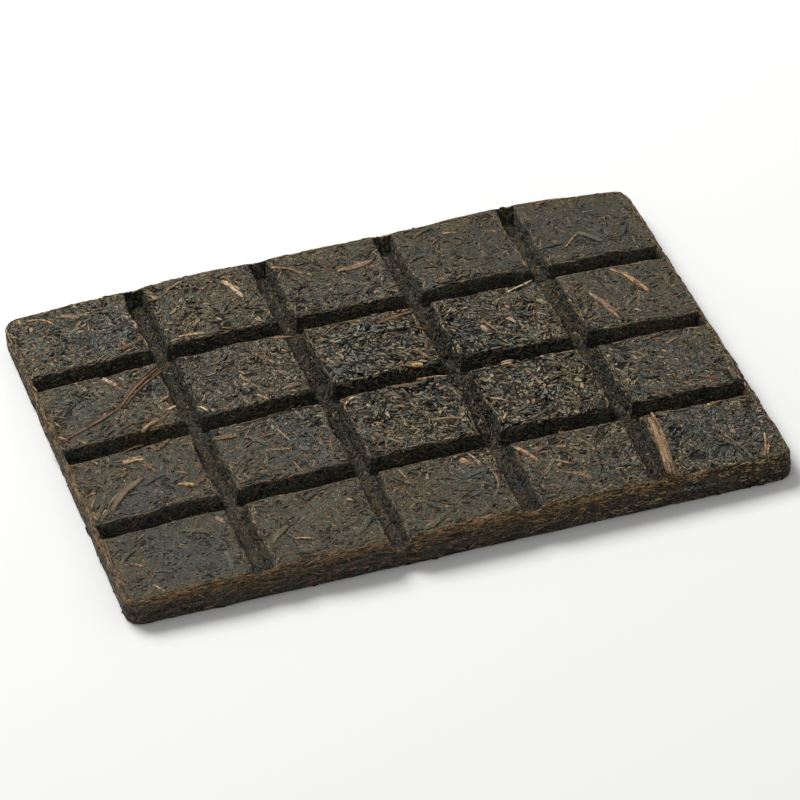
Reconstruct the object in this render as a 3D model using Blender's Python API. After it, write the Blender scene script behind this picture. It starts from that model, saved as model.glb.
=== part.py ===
"""Brick of pressed fu tea, scored like a chocolate bar into blocks that break off.

The brick is one solid: a slab of pressed leaf with a flat base and an arched top,
sloping grooves between the blocks, a thin rim where a groove meets the slab's edge,
and the stems and leaf flakes that stand up from its pressed surface. +X runs along
the five columns and +Y away from the near edge. The origin is the centre of the base.
"""

import math
import random
from collections import namedtuple

import bmesh
import bpy
import numpy as np
from mathutils import Vector

MM = 0.001  # metres in a millimetre

# Slab and blocks.
LENGTH = 200.0 * MM
WIDTH = 159.0 * MM
COLUMNS = 5
ROWS = 4
COLUMN_PITCH = 40.0 * MM
ROW_PITCH = 40.5 * MM
FIRST_COLUMN_GROOVE = -59.1 * MM  # centre of the groove beside the left column
FIRST_ROW_GROOVE = -41.4 * MM  # centre of the groove behind the near row
EDGE_THICKNESS = 7.8 * MM  # at the two short ends
ARCH_ALONG_X = 2.2 * MM  # how much thicker the middle is
ARCH_ALONG_Y = 0.3 * MM
ARCH_HALF_LENGTH = 100.0 * MM
ARCH_HALF_WIDTH = 66.0 * MM
CORNER_RADIUS = 5.5 * MM

# Grooves, measured across the top.
COLUMN_GROOVE_WIDTH = 6.1 * MM  # a groove that runs along Y
ROW_GROOVE_WIDTH = 7.4 * MM  # a groove that runs along X
GROOVE_DEPTH = 4.75 * MM
WALL_RUN = 1.3 * MM  # how far a groove's wall slopes inward
SHOULDER = 0.9 * MM  # width of the rounded edge of a block
SHOULDER_DROP = 0.32 * MM
RIM = 1.0 * MM  # wall of pressed leaf that closes each groove's end
RIM_SLOPE = 1.3 * MM
RIM_DROP = 0.7 * MM
USUAL_RIM = 0.92  # height of a rim as a share of the groove's depth
NEAR_RIMS = (0.85, 0.2, 0.75, 1.0)  # near ends of the column grooves: one is broken

# Sides and base.
SIDE_LEVELS = (0.66, 0.12)  # heights on the side, as shares of the top's height
SIDE_RELIEF = 0.35 * MM
BASE_INSET = 0.5 * MM
EDGE_WAVE = 0.5 * MM
EDGE_WAVE_SIZE = 9.0 * MM
EDGE_WAVE_REACH = 5.0 * MM
OUTWARD_POWER = 15  # odd, so that the outward direction turns only at the corners
SWELL = 0.9 * MM  # the far edge stands out a little at the right
SWELL_CENTRE = 61.0 * MM
SWELL_HALF_LENGTH = 23.0 * MM
SWELL_REACH = 14.0 * MM
CHIP_CENTRE = (-47.0 * MM, -79.0 * MM)  # a bite out of the near edge
CHIP_RADIUS = 3.4 * MM
CHIP_DEPTH = 2.2 * MM

# Relief of the pressed leaf.
CELLS_IN_BLOCK = 5
GRAIN_HEIGHT = 0.25 * MM
GRAIN_SIZE = 5.5 * MM
TILT_HEIGHT = 0.22 * MM
TILT_SIZE = 40.0 * MM
ROUGH_CENTRE = (20.0 * MM, 0.0)  # the blocks here are the roughest
ROUGH_RADIUS = 42.0 * MM
ROUGH_GAIN = 1.9
WANDER = 0.6 * MM  # how far block edges stray from straight lines
WANDER_SIZE = 7.0 * MM
WANDER_REACH = 4.0 * MM

# Flakes scattered by rule.
FLAKES_IN_BLOCK = 4
ROUGH_FLAKES_IN_BLOCK = 7
SIDE_FLAKES = 26
FLAKE_LENGTH = (5.0 * MM, 10.0 * MM)
FLAKE_WIDTH = (1.4 * MM, 2.8 * MM)
FLAKE_PROUD = (0.30 * MM, 0.60 * MM)
FLAKE_SINK = 0.55 * MM
FLAKE_CLEARANCE = 3.2 * MM
FLAKE_TRIES = 60
SEED = 1632

Stem = namedtuple("Stem", "start end width proud bow")
# The stems and large flakes that show most, in millimetres from the brick's centre:
# where one starts and ends, its width, how far it stands up, and how far it bows.
STEMS = (
    Stem((66.4, -47.5), (63.6, -75.0), 4.0, 1.0, 0.4),
    Stem((-32.0, 71.5), (-28.4, 60.0), 2.2, 0.8, 0.3),
    Stem((-50.0, 73.0), (-41.5, 77.6), 1.3, 0.5, 0.0),
    Stem((-16.0, 73.0), (-7.5, 65.0), 1.5, 0.6, 1.3),
    Stem((3.0, 63.6), (14.0, 65.4), 2.8, 0.5, -0.8),
    Stem((-93.0, 75.4), (-85.6, 69.8), 1.0, 0.5, 1.4),
    Stem((-82.5, 73.2), (-77.6, 69.8), 2.2, 0.6, 0.0),
    Stem((-70.0, 47.2), (-63.0, 50.2), 1.9, 0.4, 0.0),
    Stem((-52.0, 46.7), (-44.5, 45.6), 1.6, 0.5, 0.0),
    Stem((78.6, 58.2), (72.0, 51.0), 1.0, 0.5, 0.0),
    Stem((-62.6, 32.6), (-78.0, 16.8), 1.7, 0.6, -0.8),
    Stem((-78.6, 16.6), (-96.5, 8.2), 1.3, 0.5, 0.5),
    Stem((-79.2, 34.0), (-75.6, 26.0), 1.5, 0.6, 0.4),
    Stem((-74.4, 3.2), (-68.8, 6.8), 1.7, 0.6, 0.0),
    Stem((-30.5, 6.6), (-23.0, 7.2), 2.0, 0.5, 0.3),
    Stem((-10.5, 30.5), (0.5, 34.4), 1.1, 0.7, 1.2),
    Stem((5.0, 30.0), (17.0, 32.6), 2.1, 0.6, 0.0),
    Stem((11.0, 13.4), (14.8, 5.6), 1.7, 0.7, 0.3),
    Stem((7.0, 24.4), (14.6, 16.4), 1.3, 0.6, 0.0),
    Stem((48.0, 32.6), (56.2, 36.0), 1.3, 0.8, -0.4),
    Stem((34.2, 27.0), (40.0, 9.2), 1.2, 0.6, -0.5),
    Stem((70.6, 23.0), (75.0, 6.4), 1.8, 0.8, 0.2),
    Stem((83.4, 31.0), (88.0, 18.0), 2.1, 0.7, 0.4),
    Stem((-83.6, -10.8), (-78.0, -11.6), 3.0, 0.7, 0.0),
    Stem((-92.6, -32.6), (-80.4, -20.6), 3.0, 0.4, 1.2),
    Stem((-71.6, -28.2), (-66.6, -31.0), 1.4, 0.7, 0.0),
    Stem((-15.4, -9.0), (-10.6, -6.2), 1.2, 0.7, 0.6),
    Stem((7.0, -26.0), (15.0, -28.2), 1.3, 0.6, 0.0),
    Stem((87.0, -31.0), (92.4, -36.0), 1.3, 0.5, 0.4),
    Stem((-47.2, -67.8), (-41.8, -70.4), 1.2, 0.6, 0.0),
    Stem((8.4, -48.0), (9.6, -52.0), 2.6, 0.6, 0.0),
    Stem((25.2, -49.0), (29.2, -57.4), 1.6, 0.6, 0.4),
    Stem((95.4, -66.0), (91.6, -77.4), 1.2, 0.8, 0.3),
)

LEAF_COLOUR = (0.030, 0.027, 0.021, 1.0)
LEAF_ROUGHNESS = 0.62


def lattice_noise(x, y, seed):
    """Smooth noise from -1 to 1 that changes over a distance of about one unit."""
    column = np.floor(x).astype(np.int64)
    row = np.floor(y).astype(np.int64)
    across = x - column
    along = y - row
    across = across * across * (3 - 2 * across)
    along = along * along * (3 - 2 * along)

    def corner(right, up):
        mixed = (column + right) * 374761393 + (row + up) * 668265263 + seed * 69069
        mixed = mixed & 0xFFFFFFFF
        mixed = ((mixed ^ (mixed >> 13)) * 1274126177) & 0xFFFFFFFF
        return (mixed ^ (mixed >> 16)) / 0x7FFFFFFF - 1

    near = corner(0, 0) * (1 - across) + corner(1, 0) * across
    far = corner(0, 1) * (1 - across) + corner(1, 1) * across
    return near * (1 - along) + far * along


def groove_centres(first, pitch, blocks):
    """Centre lines of the grooves between the given number of blocks."""
    return first + pitch * np.arange(blocks - 1)


COLUMN_GROOVES = groove_centres(FIRST_COLUMN_GROOVE, COLUMN_PITCH, COLUMNS)
ROW_GROOVES = groove_centres(FIRST_ROW_GROOVE, ROW_PITCH, ROWS)


def block_lines(start, end, first_steps, last_steps):
    """Grid lines over one block: its two edges' own lines and even cells between."""
    opening = [start + step for step in first_steps]
    closing = [end - step for step in reversed(last_steps)]
    inner = np.linspace(opening[-1], closing[0], CELLS_IN_BLOCK + 1)
    return opening[:-1] + list(inner) + closing[1:]


def axis_lines(half, centres, groove_width):
    """Grid lines over the whole slab along one axis, with each groove's wall and floor."""
    outer_steps = (0.0, RIM, RIM + RIM_SLOPE)
    groove_steps = (0.0, SHOULDER)
    half_groove = groove_width / 2
    lines = []
    start = -half
    first_steps = outer_steps
    for centre in centres:
        lines += block_lines(start, centre - half_groove, first_steps, groove_steps)
        lines += [centre - half_groove + WALL_RUN, centre + half_groove - WALL_RUN]
        start = centre + half_groove
        first_steps = groove_steps
    lines += block_lines(start, half, first_steps, outer_steps)
    return np.array(lines)


def cut_across(position, centres, groove_width):
    """How deep the grooves cut at a position along one axis, with rounded shoulders."""
    distance = np.abs(position[..., None] - centres).min(axis=-1) - groove_width / 2
    return np.interp(
        distance,
        (-WALL_RUN, 0.0, SHOULDER / 2, SHOULDER),
        (GROOVE_DEPTH, SHOULDER_DROP, SHOULDER_DROP / 4, 0.0),
    )


def open_share(position, half, rim_height):
    """Share of a groove's depth that is open at a position along it: less at its ends."""
    open_part = np.clip((half - np.abs(position) - RIM) / RIM_SLOPE, 0.0, 1.0)
    return 1 - rim_height * (1 - open_part)


def near_rim_height(x, y):
    """Height of the rim at a column groove's end, as a share of the groove's depth."""
    groove = np.abs(x[..., None] - COLUMN_GROOVES).argmin(axis=-1)
    return np.where(y < 0, np.array(NEAR_RIMS)[groove], USUAL_RIM)


def swell_share(x, y):
    """How much of the far edge's swell there is at a point of the plan."""
    along = np.exp(-(((x - SWELL_CENTRE) / SWELL_HALF_LENGTH) ** 4))
    return along * np.clip(1 - (WIDTH / 2 - y) / SWELL_REACH, 0.0, 1.0)


def roughness(x, y):
    """Gain of the relief, which is strongest around the roughest blocks."""
    apart = np.hypot(x - ROUGH_CENTRE[0], y - ROUGH_CENTRE[1]) / ROUGH_RADIUS
    return 1 + (ROUGH_GAIN - 1) * np.exp(-(apart**4))


def pressed_height(x, y):
    """Height of the block tops at a point of the plan, with their long waves."""
    arch_x = ARCH_ALONG_X * (1 - (x / ARCH_HALF_LENGTH) ** 2)
    arch_y = ARCH_ALONG_Y * (1 - (y / ARCH_HALF_WIDTH) ** 2)
    waves = TILT_HEIGHT * lattice_noise(x / TILT_SIZE, y / TILT_SIZE, 5)
    return EDGE_THICKNESS + arch_x + arch_y + waves + SWELL * swell_share(x, y)


def surface_height(x, y):
    """Height of the scored top: blocks, grooves, rims, rounded edge and the chip."""
    column_cut = cut_across(x, COLUMN_GROOVES, COLUMN_GROOVE_WIDTH)
    column_cut = column_cut * open_share(y, WIDTH / 2, near_rim_height(x, y))
    row_cut = cut_across(y, ROW_GROOVES, ROW_GROOVE_WIDTH)
    row_cut = row_cut * open_share(x, LENGTH / 2, USUAL_RIM)
    inside = np.minimum(LENGTH / 2 - np.abs(x), WIDTH / 2 - np.abs(y))
    edge_cut = RIM_DROP * np.clip(1 - inside / RIM, 0.0, 1.0)
    apart = np.hypot(x - CHIP_CENTRE[0], y - CHIP_CENTRE[1]) / CHIP_RADIUS
    chip_cut = CHIP_DEPTH * np.clip(1 - apart, 0.0, 1.0)
    grain = GRAIN_HEIGHT * roughness(x, y) * lattice_noise(x / GRAIN_SIZE, y / GRAIN_SIZE, 11)
    return pressed_height(x, y) - np.maximum(column_cut, row_cut) - edge_cut - chip_cut + grain


def round_corner(x, y):
    """Moves the square corners of the plan onto arcs of the corner radius."""
    right = np.clip((np.abs(x) - LENGTH / 2 + CORNER_RADIUS) / CORNER_RADIUS, 0.0, 1.0)
    far = np.clip((np.abs(y) - WIDTH / 2 + CORNER_RADIUS) / CORNER_RADIUS, 0.0, 1.0)
    pulled_x = CORNER_RADIUS * right * (1 - np.sqrt(1 - far**2 / 2))
    pulled_y = CORNER_RADIUS * far * (1 - np.sqrt(1 - right**2 / 2))
    return x - np.sign(x) * pulled_x, y - np.sign(y) * pulled_y


def outward_from_edge(x, y):
    """Outward direction across the slab's outline, near a point of its edge."""
    out_x = (x / LENGTH * 2) ** OUTWARD_POWER
    out_y = (y / WIDTH * 2) ** OUTWARD_POWER
    size = np.hypot(out_x, out_y) + 1e-9
    return out_x / size, out_y / size


def plan_place(x, y):
    """Where a point of the square grid lies in plan: rounded, wandering and waved."""
    inside = np.minimum(LENGTH / 2 - np.abs(x), WIDTH / 2 - np.abs(y))
    wander = WANDER * np.clip(inside / WANDER_REACH, 0.0, 1.0)
    moved_x, moved_y = round_corner(x, y)
    moved_x = moved_x + wander * lattice_noise(x / WANDER_SIZE, y / WANDER_SIZE, 31)
    moved_y = moved_y + wander * lattice_noise(x / WANDER_SIZE, y / WANDER_SIZE, 37)
    coarse = lattice_noise(x / EDGE_WAVE_SIZE, y / EDGE_WAVE_SIZE, 23)
    fine = lattice_noise(3 * x / EDGE_WAVE_SIZE, 3 * y / EDGE_WAVE_SIZE, 29)
    stray = EDGE_WAVE * (0.6 * coarse + 0.4 * fine)
    stray = stray * np.clip(1 - inside / EDGE_WAVE_REACH, 0.0, 1.0)
    out_x, out_y = outward_from_edge(x, y)
    return moved_x + stray * out_x, moved_y + stray * out_y + SWELL * swell_share(x, y)


def new_object(name, bm, collection):
    """Puts a finished bmesh into a new object of the given collection."""
    mesh = bpy.data.meshes.new(name)
    bm.to_mesh(mesh)
    bm.free()
    shape = bpy.data.objects.new(name, mesh)
    collection.objects.link(shape)
    return shape


def shape_top(bm, x_lines, y_lines):
    """Moves the flat grid's points onto the grid lines and the scored top."""
    corners = np.array([point.co[:2] for point in bm.verts])
    columns = np.rint((corners[:, 0] + 1) / 2 * (len(x_lines) - 1)).astype(int)
    rows = np.rint((corners[:, 1] + 1) / 2 * (len(y_lines) - 1)).astype(int)
    x = x_lines[columns]
    y = y_lines[rows]
    places = np.column_stack((*plan_place(x, y), surface_height(x, y)))
    for point, place in zip(bm.verts, places):
        point.co = Vector(place)


def drop_sides(bm):
    """Extrudes the top's outline down the sides and closes it with a flat base."""
    draw = random.Random(SEED + 1)
    edges = [edge for edge in bm.edges if edge.is_boundary]
    heights = {}
    for level in (*SIDE_LEVELS, 0.0):
        made = bmesh.ops.extrude_edge_only(bm, edges=edges)["geom"]
        edges = [part for part in made if isinstance(part, bmesh.types.BMEdge)]
        edges = [edge for edge in edges if edge.is_boundary]
        points = {point for edge in edges for point in edge.verts}
        for point in sorted(points, key=lambda found: (found.co.x, found.co.y)):
            above = next(
                edge.other_vert(point)
                for edge in point.link_edges
                if not edge.is_boundary and edge.other_vert(point) not in points
            )
            top = heights.get(above, above.co.z)
            heights[point] = top
            point.co.z = top * level
            step = -BASE_INSET if level == 0.0 else draw.uniform(-SIDE_RELIEF, SIDE_RELIEF)
            out_x, out_y = outward_from_edge(above.co.x, above.co.y)
            point.co.x += out_x * step
            point.co.y += out_y * step
    bmesh.ops.contextual_create(bm, geom=edges)


def make_slab(collection):
    """The scored slab without the stems and flakes that stand up from it."""
    x_lines = axis_lines(LENGTH / 2, COLUMN_GROOVES, COLUMN_GROOVE_WIDTH)
    y_lines = axis_lines(WIDTH / 2, ROW_GROOVES, ROW_GROOVE_WIDTH)
    bm = bmesh.new()
    bmesh.ops.create_grid(
        bm, x_segments=len(x_lines) - 1, y_segments=len(y_lines) - 1, size=1.0
    )
    shape_top(bm, x_lines, y_lines)
    drop_sides(bm)
    bmesh.ops.triangulate(bm, faces=bm.faces)
    bmesh.ops.recalc_face_normals(bm, faces=bm.faces)
    return new_object("tea_brick", bm, collection)


def strip_mesh(sections, sides, places):
    """A closed strip whose cross-sections are placed by a function of its length.

    The strip starts as a prism with the given number of sides, cut across into
    sections. places(share, across, up) gives each point's place, where share runs
    from 0 to 1 along the strip, and across and up from -1 to 1.
    """
    bm = bmesh.new()
    bmesh.ops.create_cone(
        bm,
        cap_ends=True,
        segments=sides,
        radius1=1.0,
        radius2=1.0,
        depth=1.0,
    )
    long_edges = [edge for edge in bm.edges if abs(edge.verts[0].co.z - edge.verts[1].co.z) > 0.5]
    bmesh.ops.subdivide_edges(bm, edges=long_edges, cuts=sections - 1, use_grid_fill=True)
    turn = math.pi / sides
    for point in bm.verts:
        angle = math.atan2(point.co.y, point.co.x) + turn
        point.co = places(point.co.z + 0.5, math.cos(angle), math.sin(angle))
    bmesh.ops.triangulate(bm, faces=bm.faces)
    bmesh.ops.recalc_face_normals(bm, faces=bm.faces)
    return bm


def lie_on_top(start, end, width, proud, bow):
    """Gives the placing function of a strip that lies on the scored top."""
    begin = Vector(start)
    run = Vector(end) - begin
    aside = Vector((-run.y, run.x)).normalized()

    def place(share, across, up):
        taper = 0.62 + 0.38 * math.sin(math.pi * min(max(share, 0.08), 0.92))
        spot = begin + run * share + aside * bow * math.sin(math.pi * share)
        spot = spot + aside * across * width / 2 * taper
        ground = float(pressed_height(np.array(spot.x), np.array(spot.y)))
        lift = proud * (0.55 + 0.45 * math.sin(math.pi * share)) if up > 0 else -FLAKE_SINK
        return Vector((spot.x, spot.y, ground + lift))

    return place


def make_stems(collection):
    """The stems and large flakes that are placed by hand."""
    for number, stem in enumerate(STEMS):
        start = Vector(stem.start) * MM
        end = Vector(stem.end) * MM
        place = lie_on_top(start, end, stem.width * MM, stem.proud * MM, stem.bow * MM)
        sections = 2 if (end - start).length < 9 * MM else 3
        new_object(f"stem_{number}", strip_mesh(sections, 4, place), collection)


def distance_to_stems(x, y):
    """Distance from a point of the plan to the nearest hand-placed stem."""
    spot = Vector((x, y)) / MM
    nearest = math.inf
    for stem in STEMS:
        begin = Vector(stem.start)
        run = Vector(stem.end) - begin
        share = min(max((spot - begin).dot(run) / run.length_squared, 0.0), 1.0)
        nearest = min(nearest, (spot - begin - run * share).length)
    return nearest * MM


def block_spans(half, centres, groove_width):
    """Start and end of each block along one axis, inside its shoulders."""
    edges = [-half + 2 * RIM]
    for centre in centres:
        edges += [centre - groove_width / 2, centre + groove_width / 2]
    edges.append(half - 2 * RIM)
    return list(zip(edges[::2], edges[1::2]))


def scattered_flakes():
    """Start, end, width, height and bow of the flakes that lie on the blocks by rule."""
    draw = random.Random(SEED + 2)
    flakes = []
    for left, right in block_spans(LENGTH / 2, COLUMN_GROOVES, COLUMN_GROOVE_WIDTH):
        for near, far in block_spans(WIDTH / 2, ROW_GROOVES, ROW_GROOVE_WIDTH):
            middle = np.array((left + right) / 2), np.array((near + far) / 2)
            is_rough = float(roughness(*middle)) > (1 + ROUGH_GAIN) / 2
            wanted = ROUGH_FLAKES_IN_BLOCK if is_rough else FLAKES_IN_BLOCK
            placed = []
            for _ in range(FLAKE_TRIES):
                length = draw.uniform(*FLAKE_LENGTH)
                angle = draw.uniform(0, math.tau)
                half_run = Vector((math.cos(angle), math.sin(angle))) * length / 2
                margin = abs(half_run.x), abs(half_run.y)
                x = draw.uniform(left + margin[0], right - margin[0])
                y = draw.uniform(near + margin[1], far - margin[1])
                width = draw.uniform(*FLAKE_WIDTH)
                proud = draw.uniform(*FLAKE_PROUD)
                bow = draw.uniform(-0.1, 0.1) * length
                spot = Vector((x, y))
                clear = all((spot - other).length > 2 * FLAKE_CLEARANCE for other in placed)
                if len(placed) < wanted and clear and distance_to_stems(x, y) > FLAKE_CLEARANCE:
                    placed.append(spot)
                    flakes.append((spot - half_run, spot + half_run, width, proud, bow))
    return flakes


def lie_on_side(x, y, outward, length, width, proud, slope, height):
    """Gives the placing function of a flake that lies along the slab's side."""
    along = Vector((-outward.y, outward.x))

    def place(share, across, up):
        run = (share - 0.5) * length
        taper = 0.6 + 0.4 * math.sin(math.pi * share)
        out = proud * math.sin(math.pi * (0.15 + 0.7 * share)) if up > 0 else -0.9 * MM
        spot = Vector((x, y)) + along * run + outward * out
        return Vector((spot.x, spot.y, height + slope * run + across * width / 2 * taper))

    return place


def make_side_flakes(collection):
    """Layered flakes along the slab's sides, spread evenly round its outline."""
    draw = random.Random(SEED + 3)
    round_trip = 2 * (LENGTH + WIDTH)
    for number in range(SIDE_FLAKES):
        travelled = (number + draw.uniform(0.2, 0.8)) / SIDE_FLAKES * round_trip
        side = 0
        spans = (LENGTH, WIDTH, LENGTH, WIDTH)
        while travelled > spans[side]:
            travelled -= spans[side]
            side += 1
        limit = 9 * MM
        run = min(max(travelled, limit), spans[side] - limit) - spans[side] / 2
        x, y, outward = (
            (run, -WIDTH / 2, Vector((0, -1))),
            (LENGTH / 2, run, Vector((1, 0))),
            (-run, WIDTH / 2, Vector((0, 1))),
            (-LENGTH / 2, -run, Vector((-1, 0))),
        )[side]
        place = lie_on_side(
            x,
            y,
            outward,
            length=draw.uniform(6.0, 12.0) * MM,
            width=draw.uniform(1.0, 1.8) * MM,
            proud=draw.uniform(0.35, 0.7) * MM,
            slope=draw.uniform(-0.08, 0.08),
            height=draw.uniform(2.2, 6.0) * MM,
        )
        new_object(f"side_flake_{number}", strip_mesh(2, 4, place), collection)


def make_material():
    """Dark pressed leaf."""
    material = bpy.data.materials.new("tea_leaf")
    material.use_nodes = True
    shader = material.node_tree.nodes["Principled BSDF"]
    shader.inputs["Base Color"].default_value = LEAF_COLOUR
    shader.inputs["Roughness"].default_value = LEAF_ROUGHNESS
    shader.inputs["Metallic"].default_value = 0.0
    return material


def join(slab, pieces):
    """Joins the pieces of a collection to the slab and removes them."""
    union = slab.modifiers.new("join", "BOOLEAN")
    union.operation = "UNION"
    union.operand_type = "COLLECTION"
    union.collection = pieces
    union.solver = "MANIFOLD"
    bpy.context.view_layer.objects.active = slab
    bpy.ops.object.modifier_apply(modifier=union.name)
    for piece in list(pieces.objects):
        bpy.data.objects.remove(piece)
    bpy.data.collections.remove(pieces)


def drop_scraps(bm):
    """Keeps the largest of the bodies that the joined mesh holds."""
    bodies = []
    left = set(bm.verts)
    while left:
        found = {left.pop()}
        edge_of_search = list(found)
        while edge_of_search:
            point = edge_of_search.pop()
            for edge in point.link_edges:
                other = edge.other_vert(point)
                if other in left:
                    left.discard(other)
                    found.add(other)
                    edge_of_search.append(other)
        bodies.append(found)
    bodies.sort(key=len)
    spare = [point for body in bodies[:-1] for point in body]
    bmesh.ops.delete(bm, geom=spare, context="VERTS")


def centre_on_base(bm):
    """Moves the brick so that the origin is the centre of its box's base."""
    places = np.array([point.co[:] for point in bm.verts])
    low = places.min(axis=0)
    high = places.max(axis=0)
    middle = Vector(((low[0] + high[0]) / 2, (low[1] + high[1]) / 2, low[2]))
    bmesh.ops.translate(bm, verts=bm.verts, vec=-middle)


def finish(brick):
    """Drops loose scraps, centres the brick on its base and gives it its material."""
    bm = bmesh.new()
    bm.from_mesh(brick.data)
    bmesh.ops.triangulate(bm, faces=bm.faces)
    drop_scraps(bm)
    centre_on_base(bm)
    bm.to_mesh(brick.data)
    bm.free()
    brick.data.materials.clear()
    brick.data.materials.append(make_material())


def main():
    """Builds the brick."""
    for old in list(bpy.data.objects):
        bpy.data.objects.remove(old)
    brick_parts = bpy.data.collections.new("fu_brick_tea")
    pieces = bpy.data.collections.new("stems_and_flakes")
    bpy.context.scene.collection.children.link(brick_parts)
    bpy.context.scene.collection.children.link(pieces)
    brick = make_slab(brick_parts)
    make_stems(pieces)
    for number, (start, end, width, proud, bow) in enumerate(scattered_flakes()):
        place = lie_on_top(start, end, width, proud, bow)
        new_object(f"flake_{number}", strip_mesh(2, 4, place), pieces)
    make_side_flakes(pieces)
    join(brick, pieces)
    finish(brick)


main()
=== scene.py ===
"""Looks of the pressed fu tea brick: shredded leaf, stems and crumbs on the scored slab.

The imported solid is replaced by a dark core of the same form. Over it lie thousands of
separate leaf shreds, flakes, fibres and stems, each a thin closed lid that follows the
surface. Everything is in metres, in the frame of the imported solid.
"""

import logging
import math
import random
from dataclasses import dataclass, field, replace
from enum import Enum, IntEnum
from typing import NamedTuple

import bpy
import numpy as np
from mathutils import Matrix, Vector
from mathutils.bvhtree import BVHTree


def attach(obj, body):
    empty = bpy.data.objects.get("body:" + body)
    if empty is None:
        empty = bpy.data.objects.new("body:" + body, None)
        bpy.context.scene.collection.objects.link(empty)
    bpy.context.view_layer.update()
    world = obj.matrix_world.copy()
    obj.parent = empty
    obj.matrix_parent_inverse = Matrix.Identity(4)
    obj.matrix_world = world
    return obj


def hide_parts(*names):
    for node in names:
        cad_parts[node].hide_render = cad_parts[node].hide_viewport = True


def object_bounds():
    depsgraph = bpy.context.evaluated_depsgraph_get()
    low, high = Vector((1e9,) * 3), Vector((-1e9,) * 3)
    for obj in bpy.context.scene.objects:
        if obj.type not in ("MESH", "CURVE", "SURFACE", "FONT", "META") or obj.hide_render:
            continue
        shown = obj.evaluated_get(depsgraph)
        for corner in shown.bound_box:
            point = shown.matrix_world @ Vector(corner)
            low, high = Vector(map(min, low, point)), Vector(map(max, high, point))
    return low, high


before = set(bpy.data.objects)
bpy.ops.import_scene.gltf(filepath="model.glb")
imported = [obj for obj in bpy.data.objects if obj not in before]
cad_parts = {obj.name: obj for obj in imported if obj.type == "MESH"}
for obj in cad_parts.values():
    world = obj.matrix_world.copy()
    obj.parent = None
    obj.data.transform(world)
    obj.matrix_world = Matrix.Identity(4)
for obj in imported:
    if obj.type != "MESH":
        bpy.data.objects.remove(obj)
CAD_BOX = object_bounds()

log = logging.getLogger("tea_brick")

MM = 0.001  # metres in a millimetre
NODE = "tea_brick"
BODY = "root"
# What the solid was moved by when its box was centred over the origin.
CENTRING = np.array((0.027, 0.404, 0.0)) * MM
SEED = 1632
TINY = 1e-12  # keeps a division by zero out
WORD = 0xFFFFFFFF
# Odd numbers that scatter a lattice point's number over a word of 32 bits.
HASH_COLUMN, HASH_ROW, HASH_SEED, HASH_MIX = 374761393, 668265263, 69069, 1274126177
Array = np.ndarray
Draw = np.random.Generator
Socket = bpy.types.NodeSocket
Triple = tuple[float, float, float]
Colour = Triple
Span = tuple[float, float]  # least and most of a value, or where a value starts and how far it goes
Point = tuple[float, float]


class Region(Enum):
    """Part of the brick's surface."""

    TOP = 0
    BROW = 1
    RIM = 2
    WALL = 3
    FLOOR = 4
    SIDE = 5
    BASE = 6


class Tone(Enum):
    """Colour of a stem or large flake, as linear red, green and blue."""

    PALE = (0.55, 0.42, 0.27)
    GOLD = (0.52, 0.34, 0.155)
    TAN = (0.40, 0.26, 0.14)
    DRAB = (0.26, 0.18, 0.115)
    REDDISH = (0.19, 0.11, 0.070)
    BROWN = (0.17, 0.105, 0.058)
    OLIVE = (0.10, 0.085, 0.050)
    DARK = (0.035, 0.030, 0.024)


class Stream(IntEnum):
    """What is added to the seed for each stream of random numbers but the layers'."""

    TOP_FLAKES = 2
    SIDE_FLAKES = 3
    STEMS = 90


class Noise(IntEnum):
    """Seed of each noise of the form and the colours, so that no two share a pattern."""

    TILT = 5
    GRAIN = 11
    EDGE_COARSE = 23
    EDGE_FINE = 29
    WANDER_X = 31
    WANDER_Y = 37
    SIDE = 41
    SWIRL = 53
    CORE = 61
    WARMTH = 71
    LIGHT = 73


def lattice_noise(x: Array, y: Array, seed: Noise) -> Array:
    """Smooth noise from -1 to 1 that changes over a distance of about one unit.

    Args:
        x: Places along the first axis, in units of the noise's size.
        y: Places along the second axis, in the same units.
        seed: Chooses one of many noises.

    Returns:
        One value for each place.
    """
    column = np.floor(x).astype(np.int64)
    row = np.floor(y).astype(np.int64)
    across = x - column
    along = y - row
    across = across * across * (3 - 2 * across)
    along = along * along * (3 - 2 * along)

    def corner(right: int, up: int) -> Array:
        """Value at one corner of each place's cell.

        Args:
            right: 1 for the corners on the right, 0 for those on the left.
            up: 1 for the far corners, 0 for the near ones.

        Returns:
            A number from -1 to 1 for each place.
        """
        mixed = (column + right) * HASH_COLUMN + (row + up) * HASH_ROW + seed * HASH_SEED
        mixed = mixed & WORD
        mixed = ((mixed ^ (mixed >> 13)) * HASH_MIX) & WORD
        return (mixed ^ (mixed >> 16)) / (WORD // 2) - 1

    near = corner(0, 0) * (1 - across) + corner(1, 0) * across
    far = corner(0, 1) * (1 - across) + corner(1, 1) * across
    return near * (1 - along) + far * along


def sized_noise(x: Array, y: Array, size: float, seed: Noise) -> Array:
    """Smooth noise from -1 to 1 that changes over a distance of about the size."""
    return lattice_noise(x / size, y / size, seed)


def arch(share: Array, least: float, rise: float) -> Array:
    """A size that is least at 0 and at 1, and rises between them."""
    return least + rise * np.sin(math.pi * share)


def unit(vectors: Array) -> Array:
    """The vectors at length one."""
    return vectors / (np.linalg.norm(vectors, axis=-1, keepdims=True) + TINY)


@dataclass(frozen=True)
class Shell:
    """A closed surface of quads, with what part of the brick each quad belongs to."""

    points: Array
    quads: Array
    regions: Array
    grain: Array

    def face_normals(self) -> Array:
        """Normal of each quad, as long as twice the quad's area."""
        corners = self.points[self.quads]
        return np.cross(corners[:, 2] - corners[:, 0], corners[:, 3] - corners[:, 1])

    def normals(self) -> Array:
        """Adds up the normals of the quads around each point.

        Returns:
            A unit normal for each point.
        """
        total = np.zeros_like(self.points)
        facing = self.face_normals()
        for corner in range(4):
            np.add.at(total, self.quads[:, corner], facing)
        return unit(total)


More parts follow.
